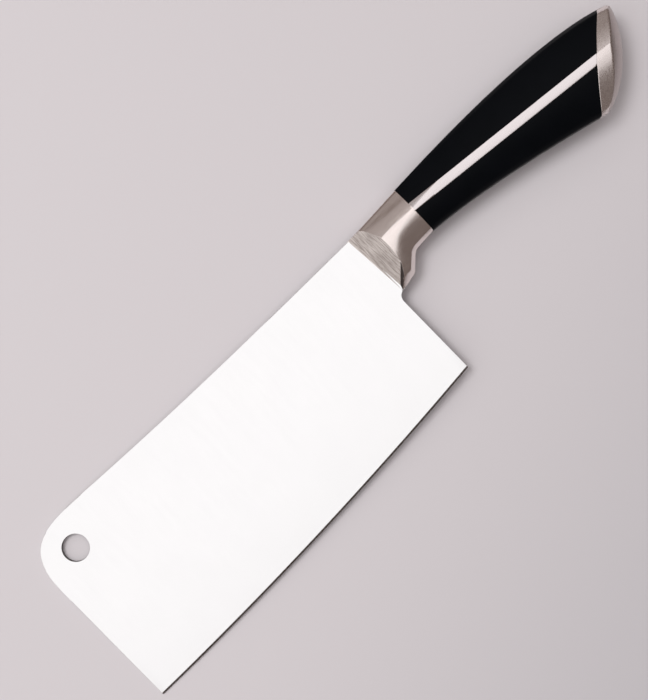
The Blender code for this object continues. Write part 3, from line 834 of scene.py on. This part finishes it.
@dataclass(frozen=True)
class Finishes:
    """Every finish of the knife."""

    # Sheet stainless with satin ground cheeks: pale and even, with faint streaks from spine to edge.
    blade: GroundSteel = GroundSteel(
        "satin_ground_stainless",
        "#F0F1F1",
        "#ECEDED",
        roughness=(0.19, 0.22),
        grain=(2.2 * MM, 14 * MM, 14 * MM),
        depth=0.0004 * MM,
    )
    # Whetted on a stone: duller than the cheek, with scratches square to the edge. Its darker colour is
    # painted shade, for the shadow and dark reflections along the cutting edge.
    edge: GroundSteel = GroundSteel(
        "whetted_edge_painted_shade",
        "#ACA8A7",
        "#94908F",
        roughness=(0.22, 0.30),
        grain=(0.5 * MM, 6 * MM, 6 * MM),
        depth=0.002 * MM,
    )
    # Left as the punch made it: a rough wall in the hang hole. Its dark grey colour is painted shade, for the
    # shade inside the hole.
    bore: GroundSteel = GroundSteel(
        "punched_bore_painted_shade",
        "#5A5655",
        "#464241",
        roughness=(0.35, 0.45),
        grain=(1.0 * MM, 1.0 * MM, 0.4 * MM),
        depth=0.004 * MM,
    )
    # Forged stainless, linished along its length: soft-edged, slightly warm reflections.
    handle: GroundSteel = GroundSteel(
        "linished_stainless",
        "#F0E7E3",
        "#E6DCD8",
        roughness=(0.17, 0.22),
        grain=(5 * MM, 1.0 * MM, 1.0 * MM),
        depth=0.0006 * MM,
    )
    # Ground on a coarse belt: clear light and dark scratches along the crescent.
    crescent: GroundSteel = GroundSteel(
        "coarse_ground_stainless",
        "#FFF8F4",
        "#887E79",
        roughness=(0.20, 0.32),
        grain=(0.32 * MM, 8 * MM, 0.32 * MM),
        depth=0.012 * MM,
    )
    # Painted shade: a dark colour without a shine on the small wall over the toe, for the shadow and the dark
    # room that it mirrors.
    scale: GroundSteel = GroundSteel(
        "painted_shade_toe_wall",
        "#6B6260",
        "#3E3735",
        roughness=(0.45, 0.60),
        grain=(0.3 * MM, 0.3 * MM, 0.3 * MM),
        depth=0.020 * MM,
    )
    # Cast stainless, bead blasted: even grey sides with soft reflections.
    cap: GroundSteel = GroundSteel(
        "bead_blasted_stainless",
        "#F6EEEB",
        "#E0D7D4",
        roughness=(0.25, 0.33),
        grain=(0.6 * MM, 0.6 * MM, 0.6 * MM),
        depth=0.003 * MM,
    )
    # The same casting without the blasting, on the dome: duller, and darker by painted shade, for the dimmer
    # reflections that the dome catches.
    cap_end: GroundSteel = GroundSteel(
        "cast_stainless_painted_shade",
        "#CEC5C2",
        "#B0A6A3",
        roughness=(0.30, 0.38),
        grain=(0.6 * MM, 0.6 * MM, 0.6 * MM),
        depth=0.005 * MM,
    )
    # Rolled stainless, polished along its length: an even, bright line.
    strip: GroundSteel = GroundSteel(
        "polished_strip_stainless",
        "#E3DDDD",
        "#D8D2D2",
        roughness=(0.18, 0.23),
        grain=(12 * MM, 1.2 * MM, 1.2 * MM),
        depth=0.0004 * MM,
    )
    # Turned steel, inside the handle: plain and a little dull.
    rivet: GroundSteel = GroundSteel(
        "turned_steel",
        "#BDBAB8",
        "#A5A19F",
        roughness=(0.30, 0.42),
        grain=(0.5 * MM, 0.5 * MM, 3 * MM),
        depth=0.003 * MM,
    )
    # Filled nylon in black with a satin finish: nearly black, with a low, wide sheen.
    cover: Moulding = Moulding("satin_black_nylon", "#040609", "#06080C", (0.38, 0.46), 0.08)
    # Plain filled nylon, inside the handle: dull and dark grey.
    core: Moulding = Moulding("plain_dark_nylon", "#2A2A2B", "#333334", (0.55, 0.65), 0.4)


# ---- Blade ----
@dataclass(frozen=True)
class Blade:
    """The broad blade with its hidden tang: flat ground cheeks, a whetted edge and a hang hole."""

    form: HandleForm
    height: float = 0.0744  # at the front
    spine_drop: float = 0.0026  # the spine is lower by this at the handle
    spine_drop_end: float = 0.125  # from the front, where the spine runs straight on
    edge_rise: float = 0.0084  # of the cutting edge at the heel
    corner: float = 0.0260  # reach of the front's upper corner
    corner_fullness: float = 3.4  # 2 is a quarter of a circle, more is squarer
    stock: float = 0.0025  # thickness of the sheet
    cheek_at_spine: float = 0.0022
    cheek_at_edge: float = 0.0010
    edge_angle: float = math.radians(30)
    edge_land: float = 0.0001  # thickness of the cutting edge itself
    hole_diameter: float = 0.0104
    hole_from_front: float = 0.0151
    hole_from_spine: float = 0.0129
    heel_fillet: float = 0.0032
    shoulder_setback: float = 0.0070  # from the heel to where the sheet narrows to the tang
    tang_height: float = 0.0084
    tang_end_height: float = 0.0080
    tang_reach: float = 0.0660
    rim: float = 0.00016  # rounding of the spine, front and hole
    edge_steps: int = 60
    corner_steps: int = 48
    spine_steps: int = 24
    hole_sides: int = 96
    heel_steps: int = 10
    crisp: float = 25.0  # degrees; sharper edges aren't shaded smooth
    upright: float = 0.5  # a wall's normal has less than this along Z

    def edge_line(self, x: float) -> float:
        """Return the height of the cutting edge, an arc that starts level at the front."""
        radius = (self.form.blade_length**2 + self.edge_rise**2) / (2 * self.edge_rise)
        return radius - math.sqrt(radius**2 - x**2)

    def half_thickness(self, y: float) -> float:
        """Return how far the ground cheek stands from the middle plane."""
        return mix(self.cheek_at_edge, self.cheek_at_spine, y / self.form.spine) / 2

    def bevel_width(self) -> float:
        """Return the width of the whetted bevel."""
        return (self.cheek_at_edge - self.edge_land) / 2 / math.tan(self.edge_angle)

    def hole_middle(self) -> Vector:
        """Return the middle of the hang hole."""
        return Vector((self.hole_from_front, self.height - self.hole_from_spine, 0))

    def upper_outline(self) -> list[Vector]:
        """Return the outline from the heel round tang, spine and front, without the cutting edge."""
        form = self.form
        heel = Vector((form.blade_length, self.edge_line(form.blade_length)))
        corner, toe = Vector((form.blade_length, form.toe)), Vector((form.nose, form.toe))
        root = form.blade_length + self.shoulder_setback
        end = form.back + self.tang_reach
        low_root = form.toe + form.toe_rise * (root - form.nose) / form.toe_length
        points = rounded(heel, corner, toe, self.heel_fillet, self.heel_steps)
        points += [
            Vector((root, low_root)),
            Vector((root, form.strip_line(root) - self.tang_height / 2)),
            Vector((end, form.strip_line(end) - self.tang_end_height / 2)),
            Vector((end, form.strip_line(end) + self.tang_end_height / 2)),
            Vector((root, form.strip_line(root) + self.tang_height / 2)),
            Vector((root, form.spine)),
        ]
        for step in range(self.spine_steps, 0, -1):
            share = step / self.spine_steps
            x = mix(self.corner, self.spine_drop_end, share)
            points.append(Vector((x, form.spine + self.spine_drop * (1 - share) ** 2)))
        power = 2 / self.corner_fullness
        for step in range(self.corner_steps + 1):
            turn = math.pi / 2 * (1 - step / self.corner_steps)
            x = self.corner * (1 - max(math.cos(turn), 0.0) ** power)
            y = self.height - self.corner * (1 - math.sin(turn) ** power)
            points.append(Vector((x, y)))
        return points

    def cheek(self, bm: bmesh.types.BMesh) -> list[bmesh.types.BMEdge]:
        """Draw the left cheek with its hole, as far as the whetted bevel.

        Args:
            bm: The empty mesh that it goes into.

        Returns:
            The edges along the bevel.
        """
        form = self.form
        bevel_line = []
        for step in range(self.edge_steps + 1):
            x = form.blade_length * step / self.edge_steps
            bevel_line.append(Vector((x, self.edge_line(x) + self.bevel_width())))
        row = [bm.verts.new(point.to_3d()) for point in (*bevel_line, *self.upper_outline())]
        ring = [bm.edges.new((row[index - 1], row[index])) for index in range(len(row))]
        hole = bmesh.ops.create_circle(
            bm,
            segments=self.hole_sides,
            radius=self.hole_diameter / 2,
            matrix=Matrix.Translation(self.hole_middle()),
        )["verts"]
        rim = {edge for vert in hole for edge in vert.link_edges}
        bmesh.ops.triangle_fill(bm, use_beauty=True, use_dissolve=False, edges=[*ring, *rim])
        step_place = form.nose  # from here back the sheet is hidden and has its full thickness
        for x in (step_place, step_place + SEAM):
            everything = [*bm.verts, *bm.edges, *bm.faces]
            bmesh.ops.bisect_plane(bm, geom=everything, plane_co=(x, 0, 0), plane_no=(1, 0, 0))
        for vert in bm.verts:
            hidden = vert.co.x > step_place + SEAM / 2
            vert.co.z = self.stock / 2 if hidden else self.half_thickness(vert.co.y)
        return ring[1 : self.edge_steps + 1]

    def build(self, bench: Bench, finishes: Finishes) -> bpy.types.Object:
        """Make the blade.

        Args:
            bench: Places the finished piece.
            finishes: The knife's finishes.

        Returns:
            The blade.
        """
        bm = new_mesh()
        whetted = self.cheek(bm)
        unwhetted = [edge for edge in bm.edges if edge.is_boundary and edge not in whetted]
        # The whetted bevel gets material 1, whose darker colour is partly painted shade.
        for item in bmesh.ops.extrude_edge_only(bm, edges=whetted)["geom"]:
            if isinstance(item, bmesh.types.BMVert):
                item.co.y -= self.bevel_width()
                item.co.z = self.edge_land / 2
            elif isinstance(item, bmesh.types.BMFace):
                item.material_index = 1
        border = [edge for edge in bm.edges if edge.is_boundary]
        for item in bmesh.ops.extrude_edge_only(bm, edges=border)["geom"]:
            if isinstance(item, bmesh.types.BMVert):
                item.co.z = 0
        soften(bm, unwhetted, self.rim)
        bmesh.ops.mirror(bm, geom=[*bm.verts, *bm.edges, *bm.faces], merge_dist=MERGE, axis="Z")
        bmesh.ops.remove_doubles(bm, verts=bm.verts, dist=MERGE)
        # The hang hole's wall gets material 2, whose dark colour is painted shade.
        for face in bm.faces:
            wall = abs(face.normal.z) < self.upright
            if wall and (face.calc_center_median().xy - self.hole_middle().xy).length < self.hole_diameter:
                face.material_index = 2
        piece = bench.thing(bm, "blade_dressed")
        materials = [finish.build() for finish in (finishes.blade, finishes.edge, finishes.bore)]
        return bench.place(piece, "blade", "blade_steel", materials, self.crisp)


# ---- Bolster ----
@dataclass(frozen=True)
class Bolster:
    """The steel collar between blade and grip, ground away in a crescent on each side."""

    form: HandleForm
    blade: Blade
    slope: float = math.radians(37.0)  # of the crescents
    foot_at_spine: float = 0.0009  # from the heel back to the crescents' lower edge
    foot_at_toe: float = 0.0028  # the same at the toe
    foot_reach: float = 0.0007  # how far the foot's hollow sweeps on each side of that edge
    foot_steps: int = 10
    sunk: float = 0.00003  # the foot ends this far below the cheek, so that the cheek shows up to it
    wall_corner: tuple[float, float] = (0.00224, 0.00005)  # of the wall over the toe, where grinding stops
    wall_facing: tuple[float, float, float] = (-3.06, 1.0, 2.45)
    wall_likeness: float = 0.97  # least cosine between the wall's direction and that of its faces
    ground_lean: float = 0.1  # a ground face leans towards the blade by more than this
    ground_end: float = 0.0080  # and lies farther than this before the back face
    front: float = 0.0001  # from the heel back to the collar's front
    fit: float = 0.0003  # room round the tang and the core's spigot
    wall: float = 0.0024
    spigot: float = 0.0050
    stations: int = 44
    rounding: float = 0.00020
    rounded_from: float = math.radians(26)  # edges past this angle are rounded, apart from the next three
    sharp_foot: tuple[float, float] = (0.0010, 0.0030)  # those this near to the nose and to the middle plane
    tang_room_reach: float = 0.0020  # those this near to the middle plane, wherever they are
    joint_height: float = 1.2  # those of the flush joint with a strip; its height in strip widths
    weld: float = 0.004 * MM  # after grinding, points nearer than this become one
    far: float = 0.030  # how far the grinding tools reach past what they cut

    def rings(self) -> list[list[Vector]]:
        """Return the rings from the core's pocket, out over the back face and on to the front."""
        form = self.form
        places = form.round_places()

        def ring(x: float) -> list[Vector]:
            """Return the cross-section at x."""
            return [form.point(x, *place) for place in places]

        floor = form.back - self.spigot - self.fit
        front = form.blade_length + self.front
        along = [mix(form.back, front, step / self.stations) for step in range(self.stations + 1)]
        return [shrunk(ring(floor), self.wall), shrunk(ring(form.back), self.wall), *[ring(x) for x in along]]

    def grinding(self, bench: Bench, side: Side) -> bpy.types.Object:
        """Make the tool that grinds one crescent: a slope with a hollow foot that runs out on the cheek.

        Args:
            bench: Makes the tool's object.
            side: The side that it grinds.

        Returns:
            The tool.
        """
        form = self.form
        rings = []
        for share in (-1.0, 2.0):  # well past the toe and the spine
            y = mix(form.toe, form.spine, share)
            foot = form.blade_length + mix(self.foot_at_toe, self.foot_at_spine, share)
            slope = Vector((math.cos(self.slope), math.sin(self.slope)))
            corner = Vector((foot, self.blade.half_thickness(y) - self.sunk))
            before = corner - Vector((self.far, 0))
            after = corner + slope * self.far
            profile = [before, *eased(before, corner, after, self.foot_reach, self.foot_steps), after]
            profile.append(Vector((before.x, after.y)))
            rings.append([Vector((point.x, y, point.y)) for point in profile])
        low, high = rings
        back, up = self.wall_corner
        wall = Vector((form.blade_length + back, form.toe + up, self.blade.half_thickness(form.toe)))
        low = [intersect_line_plane(a, b, wall, Vector(self.wall_facing)) for a, b in zip(low, high)]
        rings = [[Vector((point.x, point.y, side.value * point.z)) for point in ring] for ring in (low, high)]
        return bench.thing(solid(rings), "crescent_grinding")

    def tang_room(self, bench: Bench) -> bpy.types.Object:
        """Make the tool that cuts the room for the tang behind the blade's shoulder."""
        form = self.form
        start = form.blade_length + self.blade.shoulder_setback
        end = form.back - self.spigot + self.fit
        middle = Vector(((start + end) / 2, form.strip_line((start + end) / 2), 0))
        size = (end - start, self.blade.tang_height + 2 * self.fit, self.blade.stock + 2 * self.fit)
        bm = bmesh.new()
        bmesh.ops.create_cube(bm, size=1, matrix=Matrix.Translation(middle) @ Matrix.Diagonal((*size, 1)))
        return bench.thing(bm, "tang_room")

    def finish_of(self, face: bmesh.types.BMFace) -> int:
        """Return which material a face has: 0 is linished, 1 is the crescent, 2 is the wall over the toe,
        painted dark as shade.
        """
        outward = Vector((face.normal.x, face.normal.y, abs(face.normal.z)))
        if outward.dot(Vector(self.wall_facing).normalized()) > self.wall_likeness:
            return 2
        before_back = face.calc_center_median().x < self.form.back - self.ground_end
        return int(face.normal.x < -self.ground_lean and before_back)

    def crisp(self, edge: bmesh.types.BMEdge) -> bool:
        """Tell whether an edge stays sharp: the foot, the tang's room, and the joint with the strips."""
        form = self.form
        ends = [vert.co for vert in edge.verts]
        reach = max(abs(end.z) for end in ends)
        behind, beside = self.sharp_foot
        foot = min(end.x for end in ends) < form.nose + behind and reach < beside
        tang_room = reach < self.tang_room_reach
        middle, half = form.strip_line(form.back), self.joint_height * form.strip_width / 2
        joint = all(end.x > form.back - SEAM and abs(end.y - middle) < half for end in ends)
        return foot or tang_room or joint

    def build(self, bench: Bench, finishes: Finishes) -> bpy.types.Object:
        """Make the bolster.

        Args:
            bench: Places the finished piece.
            finishes: The knife's finishes.

        Returns:
            The bolster.
        """
        piece = bench.thing(solid(self.rings()), "bolster_dressed")
        bench.cut(piece, self.tang_room(bench))
        for side in Side:
            bench.cut(piece, self.grinding(bench, side))
        bm = bmesh.new()
        bm.from_mesh(piece.data)
        bmesh.ops.remove_doubles(bm, verts=bm.verts, dist=self.weld)
        bmesh.ops.dissolve_degenerate(bm, edges=bm.edges, dist=MERGE)
        for face in bm.faces:
            face.material_index = self.finish_of(face)
        edges = [edge for edge in edges_past(bm, self.rounded_from) if not self.crisp(edge)]
        soften(bm, edges, self.rounding, clamp=False)
        bm.to_mesh(piece.data)
        bm.free()
        materials = [finish.build() for finish in (finishes.handle, finishes.crescent, finishes.scale)]
        return bench.place(piece, "bolster", "handle_steel", materials)


# ---- Grip ----
@dataclass(frozen=True)
class Grip:
    """The two black covers and the two steel strips between them."""

    form: HandleForm
    wall: float = 0.0024
    stations: int = 72
    rounding: float = 0.00012
    rounding_steps: int = 2
    corner: float = math.radians(50)  # edges past this angle are rounded
    crisp: float = 40.0  # degrees; sharper edges of the covers aren't shaded smooth
    flush_seam: float = 0.00001  # between the strips and the steel before and behind them, ground as one

    def skin(self, places: Sequence[tuple[Spot, float, float]], seam: float) -> list[list[Vector]]:
        """Return rows of points from a seam behind the bolster to a seam before the slanting cut."""
        form = self.form
        start = form.back + seam
        ends = form.cut_places(places, -seam)
        rows = []
        for step in range(self.stations + 1):
            share = step / self.stations
            rows.append([form.point(mix(start, end, share), *place) for place, end in zip(places, ends)])
        return rows

    def cover(self, bench: Bench, finishes: Finishes, lower: bool) -> bpy.types.Object:
        """Make one cover.

        Args:
            bench: Places the finished piece.
            finishes: The knife's finishes.
            lower: Whether it is the one under the strips.

        Returns:
            The cover.
        """
        form = self.form
        half = form.side_steps + form.chamfer_steps
        left, right = form.half_places(1), form.half_places(-1)
        crest = (Spot.CREST, 1.0 if lower else 0.0)
        if lower:
            span = [(*crest, 1), *left[-half:], (Spot.BOTTOM, 0.0, 0.0), *right[-half:][::-1], (*crest, -1)]
        else:
            span = [(*crest, -1), *right[:half][::-1], (Spot.TOP, 0.0, 0.0), *left[:half], (*crest, 1)]
        rows = self.skin(span, SEAM)
        for row in rows:
            for index, beside in ((0, 1), (-1, -2)):
                away = (row[beside] - row[index]).normalized()
                row[index] = row[index] + away * SEAM
        bm = new_mesh()
        loft(bm, rows, closed=False)
        bmesh.ops.recalc_face_normals(bm, faces=bm.faces)
        facing_up = sum(face.normal.y * face.calc_area() for face in bm.faces)
        if facing_up * (-1 if lower else 1) < 0:  # an open shell's normals may be turned inwards
            bmesh.ops.reverse_faces(bm, faces=bm.faces)
        bmesh.ops.solidify(bm, geom=bm.faces, thickness=self.wall)
        bmesh.ops.recalc_face_normals(bm, faces=bm.faces)
        soften(bm, edges_past(bm, self.corner), self.rounding, self.rounding_steps)
        name = "lower_grip" if lower else "upper_grip"
        piece = bench.thing(bm, name + "_dressed")
        return bench.place(piece, name, "grip_moulding", [finishes.cover.build()], self.crisp)

    def strip(self, bench: Bench, finishes: Finishes, side: Side) -> bpy.types.Object:
        """Make one strip.

        Args:
            bench: Places the finished piece.
            finishes: The knife's finishes.
            side: The side that it lies on.

        Returns:
            The strip.
        """
        form = self.form
        places = [(Spot.CREST, step / form.crest_steps, side.value) for step in range(form.crest_steps + 1)]
        rows = self.skin(places, self.flush_seam)
        down = Vector((0, 0, -side.value * self.wall))
        rings = [[*row, row[-1] + down, row[0] + down] for row in rows]
        bm = solid(rings)
        bmesh.ops.recalc_face_normals(bm, faces=bm.faces)
        corners = edges_past(bm, self.corner)
        lengthwise = [edge for edge in corners if abs(edge.verts[0].co.x - edge.verts[1].co.x) > SEAM]
        soften(bm, lengthwise, self.rounding, self.rounding_steps)
        name = side.name.lower() + "_strip"
        piece = bench.thing(bm, name + "_dressed")
        return bench.place(piece, name, "handle_steel", [finishes.strip.build()])


# ---- Pommel cap ----
@dataclass(frozen=True)
class Dome:
    """The cap's dome, a piece of an ellipsoid whose axes follow the slanting cut."""

    form: HandleForm
    rise: float = 0.0092  # from the cut to the dome's top
    depth: float = 0.0200  # half axis square to the cut
    length: float = 0.0300  # half axis along the cut
    width: float = 0.0158  # half axis from side to side
    shift: float = 0.0034  # of the centre, along the cut towards the top

    def split(self, point: Vector) -> tuple[float, float, float]:
        """Return how far a point is from the centre, along the cut, out of it and sideways."""
        form = self.form
        middle = (form.cut_top + form.cut_bottom) / 2
        centre = middle + form.cut_out * (self.rise - self.depth) + form.cut_along * self.shift
        arm = point - centre.to_3d()
        return arm.dot(form.cut_along.to_3d()), arm.dot(form.cut_out.to_3d()), arm.z

    def beyond(self, point: Vector) -> float:
        """Return how far a point is outside the dome: 0 on it, less inside."""
        along, out, sideways = self.split(point)
        return (along / self.length) ** 2 + (out / self.depth) ** 2 + (sideways / self.width) ** 2 - 1

    def drop(self, point: Vector) -> Vector:
        """Return the point moved square to the cut until it lies on the dome."""
        along, out, sideways = self.split(point)
        height = math.sqrt(max(1 - (along / self.length) ** 2 - (sideways / self.width) ** 2, 0.0))
        square = self.form.cut_out.to_3d()
        return point - square * out + square * self.depth * height


@dataclass(frozen=True)
class PommelCap:
    """The steel cap: the handle's form up to a rounded rim, then a shallow dome."""

    form: HandleForm
    dome: Dome
    wall: float = 0.0024
    tenon: float = 0.0031  # depth of the pocket for the core's tenon
    side_rim: float = 0.0007  # reach of the rounded rim on the sides
    end_rim: float = 0.0017  # and at the top and bottom
    rim_steps: int = 8
    front_rounding: float = 0.00032  # of the front edge, beside the covers
    flush_rounding: float = 0.00002  # beside the strips, which are ground as one with the cap
    front_steps: int = 6
    ahead: float = 0.0030  # how far from an edge the surface's direction is taken
    longest: float = 0.0300  # more than the sides' length, for the search of their ends
    stations: int = 14
    dome_rings: int = 16
    crisp: float = 28.0  # degrees; sharper edges aren't shaded smooth

    def front(self, place: tuple[Spot, float, float], start: float, inner: Vector) -> list[Vector]:
        """Return the rounded front edge's arc at one place of the cross-section.

        Args:
            place: The place.
            start: X of the cut there.
            inner: The point of the pocket's mouth beside it.

        Returns:
            The arc, from the cut on to the side.
        """
        edge, behind = (self.form.point(x, *place) for x in (start, start + self.ahead))
        radius = self.flush_rounding if place[0] is Spot.CREST else self.front_rounding
        return rounded(inner, edge, behind, radius, self.front_steps)

    def rim(self, place: tuple[Spot, float, float], end: float, pole: Vector) -> list[Vector]:
        """Return the rounded rim's arc at one place of the cross-section.

        Args:
            place: The place.
            end: X where the side would meet the dome.
            pole: The middle of the sharp rim.

        Returns:
            The arc, from the side on to the dome.
        """
        before, corner = (self.form.point(x, *place) for x in (end - self.ahead, end))
        onward = self.dome.drop(mix(corner, pole, min(self.ahead / (pole - corner).length, 1.0)))
        reach = self.end_rim if place[0] in (Spot.TOP, Spot.BOTTOM) else self.side_rim
        return eased(before, corner, onward, reach, self.rim_steps)

    def build(self, bench: Bench, finishes: Finishes) -> bpy.types.Object:
        """Make the cap.

        Args:
            bench: Places the finished piece.
            finishes: The knife's finishes.

        Returns:
            The cap.
        """
        form, dome = self.form, self.dome
        places = form.round_places()
        starts = form.cut_places(places, 0.0)
        pocket = shrunk([form.point(x, *place) for x, place in zip(starts, places)], self.wall)
        for point in pocket:
            point.x = form.cut_x(point.y, 0.0)
        floor = [point + form.cut_out.to_3d() * self.tenon for point in pocket]
        ends = [
            solve(lambda x, place=place: dome.beyond(form.point(x, *place)), start, start + self.longest)
            for start, place in zip(starts, places)
        ]
        corners = [form.point(end, *place) for end, place in zip(ends, places)]
        pole = sum(corners, Vector()) / len(corners)
        fronts = [self.front(*parts) for parts in zip(places, starts, pocket)]
        rims = [self.rim(place, end, pole) for place, end in zip(places, ends)]
        rings = [floor, pocket, *map(list, zip(*fronts))]
        for step in range(1, self.stations):
            share = step / self.stations
            ring = []
            for front, rim, place in zip(fronts, rims, places):
                ring.append(form.point(mix(front[-1].x, rim[0].x, share), *place))
            rings.append(ring)
        first_painted_shade_ring = len(rings) + self.rim_steps // 2  # from the middle of the rim on, the cap is as cast and darker by painted shade
        rings += map(list, zip(*rims))
        for step in range(1, self.dome_rings):
            rings.append([dome.drop(mix(rim[-1], pole, step / self.dome_rings)) for rim in rims])
        bm = solid(rings)
        number = bm.verts.layers.int["ring"]
        for face in bm.faces:
            face.material_index = int(all(vert[number] >= first_painted_shade_ring for vert in face.verts))
        materials = [finishes.cap.build(), finishes.cap_end.build()]
        piece = bench.thing(bm, "pommel_cap_dressed")
        return bench.place(piece, "pommel_cap", "handle_steel", materials, self.crisp)


# ---- Hidden pieces that stay as the frame has them ----
@dataclass(frozen=True)
class HiddenPieces:
    """The two core halves and the rivets inside the handle, which only need their finish."""

    cores: tuple[str, ...] = ("left_core", "right_core")
    rivets: tuple[str, ...] = ("front_rivet", "middle_rivet", "rear_rivet")

    def dress(self, finishes: Finishes) -> None:
        """Give each carried-over piece its material.

        Args:
            finishes: The knife's finishes.
        """
        for names, finish in ((self.cores, finishes.core), (self.rivets, finishes.rivet)):
            material = finish.build()
            for name in names:
                for slot in frame["nodes"][name].material_slots:
                    slot.material = material
                LOG.info("%s: dressed", name)


# ---- Table, light and camera ----
@dataclass(frozen=True)
class Panel:
    """A rectangular lamp that faces the knife."""

    name: str
    place: tuple[float, float, float]
    size: tuple[float, float]
    level: float  # brightness of its surface, where 1 is white
    colour: str = "#FFFEFE"
    along: tuple[float, float, float] = (1.0, 0.0, 0.0)  # direction of its first side
    reflected: bool = True  # whether steel shows it


@dataclass(frozen=True)
class Studio:
    """A pale table under a softbox, with a softer light from the spine's side, and the camera above."""

    table: Tabletop = Tabletop()
    table_size: float = 6.0
    # The camera looks straight down. Its place, turn and lens lay the outline over the photograph's.
    camera_place: tuple[float, float, float] = (-0.014755, 0.012404, 0.482)
    camera_turn: float = math.radians(-44.3155)
    lens: float = 66.857  # mm
    panels: tuple[Panel, ...] = (
        # The blade and the level bands mirror it: they shine white.
        Panel("softbox", (-0.075, 0.02, 1.30), (1.65, 0.80), 1.01, "#FDFDFF"),
        # Its dim edge, in the upper sides.
        Panel("softbox_skirt", (-0.075, 0.66, 1.19), (1.65, 0.46), 0.23),
        # Fills the shadows; steel doesn't show it.
        Panel("ceiling", (0.0, 0.55, 1.60), (2.6, 2.6), 0.52, reflected=False),
        # Draws the soft shadow under the handle; steel doesn't show it.
        Panel("window", (-0.28, 0.52, 1.32), (0.5, 0.5), 10.4, reflected=False),
        # Lifts the upper sides and chamfers.
        Panel("spine_card", (-0.1, 1.30, 0.88), (2.2, 0.7), 0.16),
        # The crescents, which lean towards the blade's front, mirror it.
        Panel("front_card", (-1.3, 0.05, 0.75), (1.6, 1.3), 0.66, along=(0.0, 1.0, 0.0)),
    )
    dark_side: str = "#766C68"  # the room beyond the cutting edge
    light_side: str = "#7A6E69"  # the room beyond the spine
    change: float = 0.5  # how far the change from one to the other reaches, as the Y of a direction
    backdrop: str = "#D2CCCB"  # what the camera sees beyond the table

    def build(self) -> None:
        """Make the table, the lamps, the world and the camera."""
        bm = bmesh.new()
        bmesh.ops.create_grid(bm, x_segments=1, y_segments=1, size=self.table_size / 2)
        mesh = bpy.data.meshes.new("table")
        bm.to_mesh(mesh)
        bm.free()
        mesh.materials.append(self.table.build())
        table = bpy.data.objects.new("table", mesh)
        bpy.context.scene.collection.objects.link(table)
        for panel in self.panels:
            self.lamp(panel)
        self.world()
        data = bpy.data.cameras.new("camera")
        data.lens = self.lens
        camera = bpy.data.objects.new("camera", data)
        camera.location = self.camera_place
        camera.rotation_euler = (0, 0, self.camera_turn)
        bpy.context.scene.collection.objects.link(camera)
        bpy.context.scene.camera = camera
        bpy.context.scene.view_settings.view_transform = "Standard"

    @staticmethod
    def lamp(panel: Panel) -> None:
        """Hang a panel lamp.

        Args:
            panel: Its place, size and brightness.
        """
        data = bpy.data.lights.new(panel.name, "AREA")
        data.shape = "RECTANGLE"
        data.size, data.size_y = panel.size
        data.energy = panel.level * math.pi * panel.size[0] * panel.size[1]
        data.color = linear(panel.colour)[:3]
        lamp = bpy.data.objects.new(panel.name, data)
        back = Vector(panel.place).normalized()
        up = back.cross(Vector(panel.along)).normalized()
        turn = Matrix((up.cross(back), up, back)).transposed().to_4x4()
        lamp.matrix_world = Matrix.Translation(panel.place) @ turn
        lamp.visible_camera = False
        lamp.visible_glossy = panel.reflected
        bpy.context.scene.collection.objects.link(lamp)

    def world(self) -> None:
        """Make the room: lighter beyond the spine than beyond the cutting edge, and pale to the camera."""
        world = bpy.data.worlds.new("room")
        bpy.context.scene.world = world
        recipe = Recipe(world)
        towards = recipe.node("ShaderNodeTexCoord").outputs["Generated"]
        parts = recipe.node("ShaderNodeSeparateXYZ", Vector=towards)
        ends = {"From_Min": -self.change, "From_Max": self.change}
        share = recipe.node("ShaderNodeMapRange", Value=parts.outputs["Y"], **ends)
        room = recipe.blend(share.outputs["Result"], self.dark_side, self.light_side)
        seen = recipe.node("ShaderNodeLightPath").outputs["Is Camera Ray"]
        colours = {"in_6": room, "in_7": linear(self.backdrop)}
        colour = recipe.node("ShaderNodeMix", {"data_type": "RGBA"}, in_0=seen, **colours)
        recipe.feed(recipe.tree.nodes["Background"], Color=colour.outputs[2])


def main() -> None:
    """Build every piece in order and light the scene."""
    logging.basicConfig(level=logging.INFO, format="%(name)s %(message)s")
    bench = Bench(Lie().matrix())
    finishes = Finishes()
    form = HandleForm()
    blade = Blade(form)
    blade.build(bench, finishes)
    Bolster(form, blade).build(bench, finishes)
    grip = Grip(form)
    for side in Side:
        grip.strip(bench, finishes, side)
    for lower in (False, True):
        grip.cover(bench, finishes, lower)
    PommelCap(form, Dome(form)).build(bench, finishes)
    HiddenPieces().dress(finishes)
    Studio().build()


if __name__ == "__main__":
    main()
